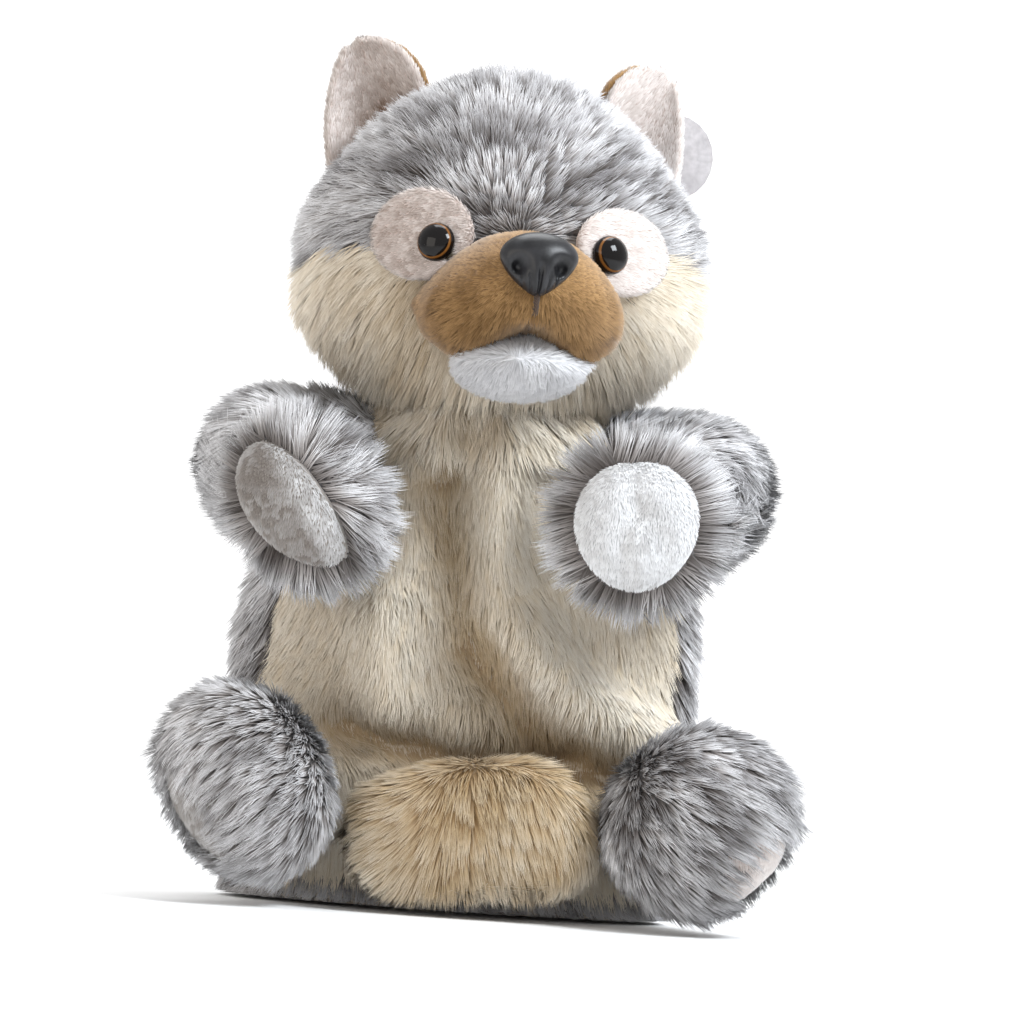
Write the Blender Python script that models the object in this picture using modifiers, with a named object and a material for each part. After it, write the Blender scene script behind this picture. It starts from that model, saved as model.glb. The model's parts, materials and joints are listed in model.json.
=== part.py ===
"""A wolf hand puppet: a plush glove with a stuffed head, two arms for the fingers and two stuffed feet.

Metres, +Z up. The puppet stands on the hem of its glove and faces -Y. Left and right are as seen from
the front, so "left" is the -X side.
"""

import math

import bmesh
import bpy
import numpy as np
from mathutils import Matrix, Vector

# ---- driving dimensions -------------------------------------------------------------------------
ORIGIN_SHIFT = Vector((-0.00368, 0.0311, 0.0))  # brings the middle of the puppet's box onto the origin
PILE = 0.005  # a long-pile plush panel, backing and packed pile together
SHORT_PILE = 0.003  # a short-pile plush panel
SEAM_GAP = 0.0022  # between two panels that are sewn edge to edge, where their piles meet
LAYER_GAP = 0.0006  # between two layers that lie on each other
WELD = 0.00001

# The glove, from the hem up: height, half width, half depth
GLOVE_STATIONS = (
    (0.000, 0.073, 0.036),
    (0.018, 0.073, 0.036),
    (0.040, 0.076, 0.037),
    (0.090, 0.076, 0.037),
    (0.108, 0.072, 0.036),
    (0.122, 0.060, 0.033),
    (0.140, 0.049, 0.031),
    (0.155, 0.034, 0.028),
)
GLOVE_LEAN = -0.005  # the glove's middle hangs a little to the left
HEM_HEIGHT = GLOVE_STATIONS[1][0]  # below it the glove's walls are upright, so that it stands flat
BELLY_EDGES = (math.radians(-60), math.radians(66))  # side seams of the belly panel, from the front
ARMHOLE_RADIUS = 0.013
HEM_ROLL_CENTRE = Vector((0.004, -0.0505, 0.0270))
HEM_ROLL_HALF = Vector((0.040, 0.0125, 0.0225))

# The neck, which is the pivot of the head
NECK = Vector((0.0, 0.0, 0.165))
NECK_RADIUS = 0.0185
NECK_HEIGHTS = (-0.0094, 0.004)
NECK_HOLE_RADIUS = 0.0225
NECK_RING_RADII = (0.0125, 0.0148)
FINGER_TUBE_RADIUS = 0.0105
FINGER_TUBE_LENGTH = 0.045

# The head, in its own frame: its middle at the origin, its face along -Y
HEAD_CENTRE = Vector((0.0, -0.010, 0.212))
HEAD_LIFT = math.radians(-6.5)
HEAD_YAW = math.radians(8)
HEAD_HALF_WIDTH = 0.062
HEAD_HALF_DEPTH = 0.052
HEAD_UP = 0.060
HEAD_DOWN = 0.048
FACE_AIM = Vector((0.0, -1.0, -0.36)).normalized()  # the head's panels run round this line
FACE_OPENING = math.radians(33)
FACE_OPENING_SIDES = math.radians(7)
CROWN_EDGE = math.radians(78)
BACK_EDGE = math.radians(96)
MUZZLE_CENTRE = Vector((0.0, -0.052, -0.0182))
MUZZLE_HALF = Vector((0.032, 0.034, 0.0193))
MUZZLE_PEAR = 0.24  # how much wider it is low down, and narrower high up
CHIN_CENTRE = Vector((0.0, -0.0560, -0.0448))
CHIN_HALF = Vector((0.020, 0.021, 0.0066))
NOSE_CENTRE = Vector((0.0, -0.0880, -0.0125))
NOSE_HALF = Vector((0.0142, 0.0065, 0.0098))
NOSE_BACK = -0.0862  # the flat back of the nose, just clear of the muzzle
POST_RADIUS = 0.0018  # of the posts moulded on the nose and the eyes
POST_CLEARANCE = 0.0006  # round a post, in the cloth that it passes through
NOSE_POST_LENGTH = 0.010
EYE_OFFSET = 0.0242
EYE_HEIGHT = -0.0008
EYE_RADIUS = 0.0063
EYE_CAP_SHAPE = ((0.0, 0.72), (0.50, 0.62), (0.84, 0.38), (1.0, 0.06), (0.92, 0.0))  # in radii of the eye
EYE_POST_END = -0.0105
WASHER_RADII = (POST_RADIUS + 0.0004, 0.0050)
WASHER_THICKNESS = 0.0014
EYE_PATCH_CENTRE = Vector((0.0315, -0.046, 0.0042))
EYE_PATCH_HALF = (0.0135, 0.0125)
STITCH_RADIUS = 0.0006
STITCH_SPREADS = (math.radians(22), math.radians(58))  # from the nose down to the mouth

EAR_FEET = {-1: Vector((0.0440, 0.006, 0.0415)), 1: Vector((0.0455, 0.010, 0.0400))}
EAR_SLOPE = Vector((1.0, 0.46, -0.62))  # the line of the ear's seam across the skull
EAR_TIP_LEAN = Vector((0.22, 0.10, 1.0))
EAR_HALF_WIDTH = 0.0190
EAR_HEIGHT = 0.026
EAR_CUP = 0.006
EAR_LIFT = 0.0012  # the ear's seam above the skull
EAR_THICKNESS = 0.0028
EAR_BACK_SETBACK = 0.0060

TAG_CENTRE = Vector((0.0610, 0.0330, 0.0440))
TAG_HALF = (0.0125, 0.0140)
TAG_THICKNESS = 0.0008
TAG_HOLE_RADIUS = 0.0020
TAG_HOLE_DROP = 0.0050  # below the tag's upper edge
FASTENER_RADIUS = 0.0005
FASTENER_ROUTE = (  # from the tag's hole
    Vector((0.0, 0.0035, 0.0)),
    Vector((0.0, -0.0040, 0.0)),
    Vector((-0.0015, -0.0065, 0.0010)),
    Vector((-0.0045, -0.0085, 0.0020)),
)

# The arms, for the right side; the left is its mirror image, apart from how the paw is turned
SHOULDER = Vector((0.056, -0.004, 0.142))
SLEEVE_PATH = (
    Vector((0.0620, -0.0080, 0.1420)),
    Vector((0.0700, -0.0170, 0.1415)),
    Vector((0.0700, -0.0290, 0.1390)),
    Vector((0.0650, -0.0390, 0.1360)),
)
SLEEVE_RADIUS = 0.0175
WRIST = Vector((0.0600, -0.0440, 0.1340))
PAWS = {
    "left": {
        "centre": Vector((-0.0560, -0.0660, 0.1300)),
        "half": Vector((0.0255, 0.0190, 0.0310)),
        "aim": Vector((-0.42, -0.90, -0.16)),
        "roll": math.radians(-38),
    },
    "right": {
        "centre": Vector((0.0495, -0.0660, 0.1300)),
        "half": Vector((0.0270, 0.0190, 0.0270)),
        "aim": Vector((-0.08, -0.99, -0.10)),
        "roll": 0.0,
    },
}
PAD_SPREAD = math.radians(48)
CUFF_SPREAD = math.radians(132)

# The legs
LEGS = {
    "left": {
        "centre": Vector((-0.0680, -0.0590, 0.0395)),
        "half": Vector((0.0270, 0.0270, 0.0340)),
        "aim": Vector((-0.66, -0.58, -0.48)),
        "roll": math.radians(-24),
    },
    "right": {
        "centre": Vector((0.0740, -0.0570, 0.0365)),
        "half": Vector((0.0290, 0.0270, 0.0330)),
        "aim": Vector((0.78, -0.38, -0.50)),
        "roll": math.radians(20),
    },
}
SOLE_SPREAD = math.radians(42)
STUFFING_SHARE = 0.72  # of the skin's half sizes
FILLING_MEETS_AT = -0.032  # where the head's filling gives way to the muzzle's

# ---- materials: colour, roughness ---------------------------------------------------------------
FROSTED = ((0.40, 0.39, 0.39), 0.95)
CREAM = ((0.82, 0.74, 0.60), 0.95)
GOLDEN_CREAM = ((0.72, 0.58, 0.38), 0.95)
TAN = ((0.50, 0.28, 0.10), 0.90)
PINK_WHITE = ((0.86, 0.76, 0.70), 0.90)
WHITE_PLUSH = ((0.84, 0.83, 0.81), 0.90)
FILL_WHITE = ((0.90, 0.90, 0.90), 1.00)
KNIT = ((0.55, 0.53, 0.50), 0.90)
BLACK_PLASTIC = ((0.012, 0.012, 0.014), 0.25)
EYE_PLASTIC = ((0.020, 0.012, 0.008), 0.06)
CLEAR_PLASTIC = ((0.80, 0.80, 0.80), 0.30)
CARD = ((0.92, 0.91, 0.89), 0.60)
THREAD = ((0.10, 0.06, 0.03), 0.80)


# ---- scene, materials and tools -----------------------------------------------------------------
def start_scene():
    for obj in list(bpy.data.objects):
        bpy.data.objects.remove(obj, do_unlink=True)
    collections = []
    for name in ("wolf_hand_puppet", "cutters"):
        collection = bpy.data.collections.new(name)
        bpy.context.scene.collection.children.link(collection)
        collections.append(collection)
    return collections


PARTS, CUTTERS = start_scene()


def add_empty(name, location, rotation=(0.0, 0.0, 0.0), parent=None):
    empty = bpy.data.objects.new(name, None)
    empty.location, empty.rotation_euler, empty.parent = location, rotation, parent
    empty.empty_display_size = 0.02
    PARTS.objects.link(empty)
    return empty


def new_material(name, finish):
    colour, roughness = finish
    material = bpy.data.materials.new(name)
    material.use_nodes = True
    shader = material.node_tree.nodes["Principled BSDF"]
    shader.inputs["Base Color"].default_value = (*colour, 1.0)
    shader.inputs["Roughness"].default_value = roughness
    return material


def place_part(name, data, finish, parent):
    """Puts a mesh or a curve under its parent, with a material of its own."""
    data.materials.append(new_material(name, finish))
    part = bpy.data.objects.new(name, data)
    part.parent = parent
    PARTS.objects.link(part)
    return part


def add_part(name, bm, finish, parent):
    """Turns a bmesh into a named part."""
    mesh = bpy.data.meshes.new(name)
    bm.to_mesh(mesh)
    bm.free()
    mesh.shade_smooth()
    return place_part(name, mesh, finish, parent)


def add_spline(curve, points, closed=False):
    spline = curve.splines.new("POLY")
    spline.points.add(len(points) - 1)
    for spline_point, place in zip(spline.points, points):
        spline_point.co = (*place, 1.0)
    spline.use_cyclic_u = closed


def add_wire(name, points, radius, finish, parent):
    """A round wire or thread through a row of points."""
    curve = bpy.data.curves.new(name, "CURVE")
    curve.dimensions, curve.bevel_depth, curve.bevel_resolution = "3D", radius, 1
    curve.use_fill_caps = True
    add_spline(curve, points)
    return place_part(name, curve, finish, parent)


def thicken(part, thickness):
    """Gives an open sheet its thickness, on its inner side."""
    solid = part.modifiers.new("thickness", "SOLIDIFY")
    solid.thickness = thickness
    solid.offset = -1.0


def add_cutter(name, radius, length, matrix):
    bm = bmesh.new()
    bmesh.ops.create_cone(
        bm, cap_ends=True, segments=20, radius1=radius, radius2=radius, depth=length, matrix=matrix
    )
    mesh = bpy.data.meshes.new(name)
    bm.to_mesh(mesh)
    bm.free()
    cutter = bpy.data.objects.new(name, mesh)
    cutter.hide_render, cutter.display_type = True, "WIRE"
    CUTTERS.objects.link(cutter)
    return cutter


def combine(part, other, operation="DIFFERENCE"):
    boolean = part.modifiers.new(operation.lower(), "BOOLEAN")
    boolean.operation, boolean.object, boolean.solver = operation, other, "EXACT"


def sheet(name, surface, across, along, steps, inside, finish, parent):
    """A flat grid bent over surface(u, v), with its faces turned away from the point inside."""
    bm = bmesh.new()
    bmesh.ops.create_grid(bm, x_segments=steps[0], y_segments=steps[1], size=1.0)
    for vert in bm.verts:
        u = across[0] + (across[1] - across[0]) * (vert.co.x + 1) / 2
        v = along[0] + (along[1] - along[0]) * (vert.co.y + 1) / 2
        vert.co = surface(u, v)
    bmesh.ops.remove_doubles(bm, verts=bm.verts, dist=WELD)
    bmesh.ops.recalc_face_normals(bm, faces=bm.faces)
    if sum((f.calc_center_median() - inside).dot(f.normal) for f in bm.faces) < 0:
        bmesh.ops.reverse_faces(bm, faces=bm.faces)
    return add_part(name, bm, finish, parent)


def turned(name, profile, matrix, finish, parent, segments=16):
    """A profile (radius, height) turned round the Z axis of matrix; it runs top to bottom outside."""
    bm = bmesh.new()
    points = [bm.verts.new((radius, 0.0, height)) for radius, height in profile]
    closed = profile[0][0] > 0.0
    for first, second in zip(points, points[1:] + points[:1] if closed else points[1:]):
        bm.edges.new((first, second))
    part = add_part(name, bm, finish, parent)
    part.matrix_local = matrix
    screw = part.modifiers.new("turn", "SCREW")
    screw.steps = screw.render_steps = segments
    screw.use_merge_vertices, screw.merge_threshold = True, 0.0001
    return part


def frame_along(location, aim, up=Vector((0.0, 0.0, 1.0))):
    """A matrix at location whose Z axis is aim and whose Y axis is as near to up as it can be."""
    z = aim.normalized()
    x = up.cross(z).normalized()
    return Matrix.Translation(location) @ Matrix((x, z.cross(x), z)).transposed().to_4x4()


class Form:
    """A stuffed form: an ellipsoid turned by roll about Y, with its panels laid out round an aim."""

    def __init__(self, centre, half, aim, roll=0.0):
        self.centre, self.half = centre, half
        self.turn = Matrix.Rotation(roll, 3, "Y")
        self.pole = frame_along(Vector(), aim, self.turn @ Vector((0.0, 0.0, 1.0))).to_3x3()

    def along(self, direction, share=1.0):
        """The point of the surface in a direction from the centre; share scales the form."""
        own = self.turn.transposed() @ direction.normalized()
        reach = 1.0 / math.sqrt(sum((own[i] / self.half[i]) ** 2 for i in range(3)))
        return self.centre + direction.normalized() * reach * share

    def at(self, swing, spread, share=1.0):
        """The point at an angle spread from the aim, swing round it from the top."""
        flat = math.sin(spread)
        direction = Vector((flat * math.sin(swing), flat * math.cos(swing), math.cos(spread)))
        return self.along(self.pole @ direction, share)


def closed_form(name, form, finish, parent, share=1.0, segments=(16, 10)):
    """A form as one closed solid; share scales it."""
    bm = bmesh.new()
    bmesh.ops.create_uvsphere(bm, u_segments=segments[0], v_segments=segments[1], radius=1.0)
    for vert in bm.verts:
        vert.co = form.along(vert.co.copy(), share)
    return add_part(name, bm, finish, parent)


def mirrored(point, side):
    return Vector((side * point.x, point.y, point.z))


def seam(form):
    """A seam's gap as an angle on a form."""
    return SEAM_GAP / min(form.half)


FULL_TURN = (0.0, 2 * math.pi)


# ---- glove --------------------------------------------------------------------------------------
def glove_point(turn, height):
    heights, widths, depths = np.array(GLOVE_STATIONS).T
    half_width = float(np.interp(height, heights, widths))
    half_depth = float(np.interp(height, heights, depths))
    lean = GLOVE_LEAN * (1.0 - max(height, HEM_HEIGHT) / heights[-1])
    return Vector((lean + half_width * math.sin(turn), -half_depth * math.cos(turn), height))


def build_glove(parent):
    """The two panels of the glove, which is open at the hem, at the neck and at the armholes."""
    top = GLOVE_STATIONS[-1][0]
    gap = SEAM_GAP / 0.040
    left, right = BELLY_EDGES
    middle = Vector((0.0, 0.0, top / 2))
    belly = sheet(
        "belly_panel", glove_point, (left, right), (0.0, top), (12, 9), middle, CREAM, parent
    )
    back_edges = (right + gap, left + 2 * math.pi - gap)
    back = sheet("back_panel", glove_point, back_edges, (0.0, top), (16, 9), middle, FROSTED, parent)
    for panel in (belly, back):
        thicken(panel, PILE)
        for side in (-1, 1):
            centre = Vector((side * 0.050, 0.0, SHOULDER.z - 0.006)) + ORIGIN_SHIFT
            across = frame_along(centre, Vector((side, 0.0, 0.2)))
            combine(panel, add_cutter("armhole_cutter", ARMHOLE_RADIUS, 0.050, across))
    roll = Form(HEM_ROLL_CENTRE, HEM_ROLL_HALF, Vector((0.0, -1.0, 0.0)))
    closed_form("front_hem_roll", roll, GOLDEN_CREAM, parent)


# ---- neck ---------------------------------------------------------------------------------------
def build_neck(parent):
    at_neck = Matrix.Translation(NECK)
    low, high = NECK_HEIGHTS
    wall = 0.002
    sleeve_profile = (
        (NECK_RADIUS - wall, high),
        (NECK_RADIUS, high),
        (NECK_RADIUS, low),
        (NECK_RADIUS - wall, low),
    )
    turned("neck_sleeve", sleeve_profile, at_neck, FROSTED, parent, 20)
    inner, outer = NECK_RING_RADII
    ring_profile = ((inner, 0.002), (outer, 0.002), (outer, -0.001), (inner, -0.001))
    turned("neck_seam_ring", ring_profile, at_neck, KNIT, parent, 20)


# ---- head ---------------------------------------------------------------------------------------
def skull_point(direction, share=1.0):
    """The head's surface; the crown is taller than the jaw."""
    d = direction.normalized()
    tall = HEAD_UP if d.z > 0 else HEAD_DOWN
    reach = 1.0 / math.sqrt(
        (d.x / HEAD_HALF_WIDTH) ** 2 + (d.y / HEAD_HALF_DEPTH) ** 2 + (d.z / tall) ** 2
    )
    return d * reach * share


FACE_POLE = frame_along(Vector(), FACE_AIM).to_3x3()


def face_direction(swing, spread):
    """A direction spread away from the muzzle, swing round it from the top."""
    flat = math.sin(spread)
    return FACE_POLE @ Vector((flat * math.sin(swing), flat * math.cos(swing), math.cos(spread)))


def face_point(swing, share_out):
    """Runs from the opening behind the muzzle (0) to the seam of the back panel (1)."""
    inner = FACE_OPENING + FACE_OPENING_SIDES * math.sin(swing) ** 2
    return skull_point(face_direction(swing, inner + (BACK_EDGE - inner) * share_out))


def eye_frame(side):
    """A matrix on the surface of the face, its Z axis pointing out of the eye."""
    place = skull_point(Vector((side * EYE_OFFSET, -0.046, EYE_HEIGHT)))
    outward = Vector((place.x / HEAD_HALF_WIDTH**2, place.y / HEAD_HALF_DEPTH**2, 0.0))
    return frame_along(place, outward)


def eye_patch_point(side):
    """Polar surface of an eye patch, which lies on top of the face's panels."""
    middle = skull_point(mirrored(EYE_PATCH_CENTRE, side))
    frame = frame_along(Vector(), middle).to_3x3()
    lift = 1.0 + (SHORT_PILE + LAYER_GAP) / 0.052

    def point(turn, share):
        half_across, half_up = EYE_PATCH_HALF
        flat = Vector((half_across * math.sin(turn), half_up * math.cos(turn), 0.0)) * share
        return skull_point(middle + frame @ flat, lift)

    return point


def build_head_panels(parent):
    gap = SEAM_GAP / 0.045
    crown = (-CROWN_EDGE, CROWN_EDGE)
    cheek = (CROWN_EDGE + gap, math.pi - gap / 2)
    origin = Vector()
    across_face = (0.0, 1.0)
    panels = [
        sheet("crown_panel", face_point, crown, across_face, (14, 6), origin, FROSTED, parent),
        sheet("cheek_right", face_point, cheek, across_face, (9, 6), origin, CREAM, parent),
        sheet(
            "cheek_left", face_point, (-cheek[1], -cheek[0]), across_face, (9, 6), origin, CREAM, parent
        ),
    ]

    def back_point(swing, spread):
        return skull_point(face_direction(swing, spread))

    back_span = (BACK_EDGE + gap, math.pi)
    panels.append(
        sheet("back_of_head", back_point, FULL_TURN, back_span, (22, 6), origin, FROSTED, parent)
    )
    for panel in panels:
        thicken(panel, PILE)
    return panels


def build_eyes(parent, crown):
    """Two safety eyes: a domed cap with its post, and the washer that locks it inside the crown."""
    seat = SHORT_PILE + 3 * LAYER_GAP
    cap = [(radius * EYE_RADIUS, seat + height * EYE_RADIUS) for radius, height in EYE_CAP_SHAPE]
    post = [(POST_RADIUS, seat), (POST_RADIUS, EYE_POST_END), (0.0, EYE_POST_END)]
    inner, outer = WASHER_RADII
    washer_top = -PILE - 2 * LAYER_GAP
    washer_foot = washer_top - WASHER_THICKNESS
    washer_profile = (
        (inner, washer_top),
        (outer, washer_top),
        (outer, washer_foot),
        (inner, washer_foot),
    )
    for side, word in ((-1, "left"), (1, "right")):
        place = eye_frame(side)
        patch = sheet(
            f"eye_patch_{word}",
            eye_patch_point(side),
            FULL_TURN,
            (0.0, 1.0),
            (14, 3),
            Vector(),
            PINK_WHITE,
            parent,
        )
        thicken(patch, SHORT_PILE)
        world = parent.matrix_world @ place
        hole = add_cutter(f"eye_hole_cutter_{word}", POST_RADIUS + POST_CLEARANCE, 0.040, world)
        combine(patch, hole)
        combine(crown, hole)
        turned(f"eye_{word}", cap + post, place, EYE_PLASTIC, parent, 18)
        turned(f"eye_washer_{word}", washer_profile, place, CLEAR_PLASTIC, parent, 14)


def build_muzzle(parent):
    form = Form(MUZZLE_CENTRE, MUZZLE_HALF, Vector((0.0, -1.0, 0.0)))

    def pear(swing, spread):
        place = form.at(swing, spread)
        place.x *= 1.0 - MUZZLE_PEAR * (place.z - MUZZLE_CENTRE.z) / MUZZLE_HALF.z
        return place

    muzzle = sheet(
        "muzzle",
        pear,
        FULL_TURN,
        (0.0, math.radians(100)),
        (16, 6),
        MUZZLE_CENTRE,
        TAN,
        parent,
    )
    thicken(muzzle, SHORT_PILE)
    filling = closed_form("muzzle_stuffing", form, FILL_WHITE, parent, STUFFING_SHARE, (12, 8))
    for vert in filling.data.vertices:
        vert.co.y = min(vert.co.y, FILLING_MEETS_AT - 0.002)
    chin = Form(CHIN_CENTRE, CHIN_HALF, Vector((0.0, -1.0, 0.0)))
    closed_form("chin", chin, WHITE_PLUSH, parent, segments=(16, 8))
    build_nose(parent, muzzle)


def build_nose(parent, muzzle):
    """A moulded nose, wide at the top, with a post through the muzzle."""
    bm = bmesh.new()
    bmesh.ops.create_uvsphere(bm, u_segments=16, v_segments=10, radius=1.0)
    for vert in bm.verts:
        taper = 0.78 + 0.34 * vert.co.z
        vert.co = NOSE_CENTRE + Vector((vert.co.x * taper, vert.co.y, vert.co.z)) * NOSE_HALF
        vert.co.y = min(vert.co.y, NOSE_BACK)
    nose = add_part("nose", bm, BLACK_PLASTIC, parent)
    inward = frame_along(Vector((0.0, NOSE_BACK + 0.004, NOSE_CENTRE.z - 0.002)), Vector((0.0, -1.0, 0.0)))
    world = parent.matrix_world @ inward
    combine(nose, add_cutter("nose_post", POST_RADIUS, NOSE_POST_LENGTH, world), "UNION")
    combine(muzzle, add_cutter("nose_hole_cutter", POST_RADIUS + POST_CLEARANCE, 0.030, world))


def build_mouth_stitch(parent):
    """The stitched line from the nose down to the mouth, standing on the muzzle."""
    proud = Vector((2 * STITCH_RADIUS,) * 3)
    form = Form(MUZZLE_CENTRE, MUZZLE_HALF + proud, Vector((0.0, -1.0, 0.0)))
    line = [form.at(math.pi, float(spread)) for spread in np.linspace(*STITCH_SPREADS, 6)]
    add_wire("mouth_stitch", line, STITCH_RADIUS, THREAD, parent)


def build_head_filling(parent, panels):
    """The stuffing, with a bore for the finger tube, and the neck hole through the panels."""
    bm = bmesh.new()
    bmesh.ops.create_uvsphere(bm, u_segments=18, v_segments=10, radius=1.0)
    for vert in bm.verts:
        vert.co = skull_point(vert.co.copy(), STUFFING_SHARE)
        vert.co.y = max(vert.co.y, FILLING_MEETS_AT + 0.002)
    stuffing = add_part("head_stuffing", bm, FILL_WHITE, parent)
    hole = add_cutter(
        "neck_hole_cutter", NECK_HOLE_RADIUS, 0.036, Matrix.Translation(NECK + ORIGIN_SHIFT)
    )
    for panel in panels:
        combine(panel, hole)
    bore_length = 2 * (FINGER_TUBE_LENGTH + 0.003)
    bore_place = Matrix.Translation(NECK + ORIGIN_SHIFT)
    bore = add_cutter("bore_cutter", FINGER_TUBE_RADIUS + 0.0015, bore_length, bore_place)
    combine(stuffing, bore)


def build_finger_tube(parent):
    """A closed pocket of thin cloth for the finger that nods the head."""
    radius, length, wall = FINGER_TUBE_RADIUS, FINGER_TUBE_LENGTH, 0.0012
    profile = (
        (0.0, length),
        (0.6 * radius, length - 0.10 * radius),
        (radius, length - 0.7 * radius),
        (radius, 0.001),
        (radius - wall, 0.001),
        (radius - wall, length - 0.7 * radius - 0.3 * wall),
        (0.6 * radius - 0.5 * wall, length - 0.10 * radius - wall),
        (0.0, length - wall),
    )
    turned("head_finger_tube", profile, Matrix.Translation(NECK), KNIT, parent, 16)


# ---- ears and tag -------------------------------------------------------------------------------
def ear_point(side, setback):
    """A cupped leaf: across from -1 to 1, and up from the seam on the skull (0) to the tip (1)."""
    foot = mirrored(EAR_FEET[side], side)
    up = mirrored(EAR_TIP_LEAN, side).normalized()
    slope = mirrored(EAR_SLOPE, side).normalized()
    back = slope.cross(up).normalized()
    back = back if back.y > 0 else -back

    def point(across, height):
        width = EAR_HALF_WIDTH * (1.0 - height**2.2) ** 0.7
        seam_place = skull_point(foot + slope * across * width, 1.0 + EAR_LIFT / HEAD_UP)
        hollow = EAR_CUP * (1.0 - across**2) * (1.0 - height) ** 0.5 + setback
        return seam_place + up * EAR_HEIGHT * height + back * hollow

    return point


def build_ears(parent):
    for side, word in ((-1, "left"), (1, "right")):
        middle = mirrored(EAR_FEET[side], side) + Vector((0.0, 0.05, 0.01))
        for layer, setback, finish in (
            ("inner", 0.0, PINK_WHITE),
            ("back", EAR_BACK_SETBACK, TAN),
        ):
            ear = sheet(
                f"ear_{layer}_{word}",
                ear_point(side, setback),
                (-1.0, 1.0),
                (0.0, 0.985),
                (8, 6),
                middle,
                finish,
                parent,
            )
            thicken(ear, EAR_THICKNESS)


def oval(half_width, half_height, middle, count):
    """A row of points round a flat oval whose middle is at a height."""
    turns = [2 * math.pi * i / count for i in range(count)]
    return [(half_width * math.cos(t), half_height * math.sin(t) + middle, 0.0) for t in turns]


def build_tag(parent):
    """A blank card tag with round ends, hanging from a thin nylon loop behind the right ear."""
    curve = bpy.data.curves.new("swing_tag", "CURVE")
    curve.dimensions, curve.fill_mode, curve.extrude = "2D", "BOTH", TAG_THICKNESS / 2
    hole_height = TAG_HALF[1] - TAG_HOLE_DROP
    add_spline(curve, oval(*TAG_HALF, 0.0, 20), closed=True)
    add_spline(curve, oval(TAG_HOLE_RADIUS, TAG_HOLE_RADIUS, hole_height, 10), closed=True)
    tag = place_part("swing_tag", curve, CARD, parent)
    tag.location = TAG_CENTRE
    tag.rotation_euler = (math.radians(90), 0.0, 0.0)
    hole_middle = TAG_CENTRE + Vector((0.0, 0.0, hole_height))
    route = [hole_middle + step for step in FASTENER_ROUTE]
    add_wire("tag_fastener", route, FASTENER_RADIUS, CLEAR_PLASTIC, parent)


# ---- arms ---------------------------------------------------------------------------------------
def sleeve_point(side):
    """A bent tube along the arm's path; the turn runs round it."""
    path = [mirrored(p, side) for p in SLEEVE_PATH]

    def point(turn, share):
        reach = share * (len(path) - 1)
        i = min(int(reach), len(path) - 2)
        place = path[i].lerp(path[i + 1], reach - i)
        tangents = [path[min(j + 1, len(path) - 1)] - path[max(j - 1, 0)] for j in (i, i + 1)]
        forward = tangents[0].lerp(tangents[1], reach - i)
        frame = frame_along(place, forward)
        ring = Vector((math.sin(turn), math.cos(turn), 0.0)) * SLEEVE_RADIUS
        return frame @ ring

    return point


def build_arms(parent):
    for side, word in ((-1, "left"), (1, "right")):
        centre = mirrored(SLEEVE_PATH[1].lerp(SLEEVE_PATH[2], 0.5), side)
        sleeve = sheet(
            f"arm_sleeve_{word}",
            sleeve_point(side),
            FULL_TURN,
            (0.0, 1.0),
            (16, 4),
            centre,
            FROSTED,
            parent,
        )
        thicken(sleeve, SHORT_PILE)
        paw = Form(**PAWS[word])
        gap = seam(paw)
        cuff_span, pad_span = (PAD_SPREAD + gap, CUFF_SPREAD), (0.0, PAD_SPREAD)
        cuff = sheet(
            f"paw_fur_{word}", paw.at, FULL_TURN, cuff_span, (18, 6), paw.centre, FROSTED, parent
        )
        thicken(cuff, PILE)
        pad = sheet(
            f"paw_pad_{word}", paw.at, FULL_TURN, pad_span, (18, 3), paw.centre, WHITE_PLUSH, parent
        )
        thicken(pad, SHORT_PILE)


# ---- legs ---------------------------------------------------------------------------------------
def build_legs(parent):
    for word, layout in LEGS.items():
        leg = Form(**layout)
        gap = seam(leg)
        skin = sheet(
            f"leg_fur_{word}",
            leg.at,
            FULL_TURN,
            (SOLE_SPREAD + gap, math.pi),
            (18, 8),
            leg.centre,
            FROSTED,
            parent,
        )
        thicken(skin, PILE)
        sole = sheet(
            f"sole_{word}", leg.at, FULL_TURN, (0.0, SOLE_SPREAD), (18, 3), leg.centre, PINK_WHITE, parent
        )
        thicken(sole, SHORT_PILE)
        closed_form(f"leg_stuffing_{word}", leg, FILL_WHITE, parent, STUFFING_SHARE, (12, 8))


# ---- the puppet ---------------------------------------------------------------------------------
def build():
    puppet = add_empty("puppet", ORIGIN_SHIFT)
    head = add_empty("head_pose", HEAD_CENTRE, (HEAD_LIFT, 0.0, HEAD_YAW), puppet)
    bpy.context.view_layer.update()
    build_glove(puppet)
    build_neck(puppet)
    panels = build_head_panels(head)
    build_eyes(head, panels[0])
    build_muzzle(head)
    build_mouth_stitch(head)
    build_head_filling(head, panels)
    build_finger_tube(puppet)
    build_ears(head)
    build_tag(head)
    build_arms(puppet)
    build_legs(puppet)


build()
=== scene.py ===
"""The looks of the wolf hand puppet: stuffed skins, a sewn glove, plush fur strand by strand, and the face.

Metres, +Z up. The puppet faces -Y. Left and right are as seen from the front, so "left" is the -X side.
"""

import json
import math

import bmesh
import bpy
import numpy as np
from mathutils import Matrix, Vector, kdtree
from mathutils.bvhtree import BVHTree


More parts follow.
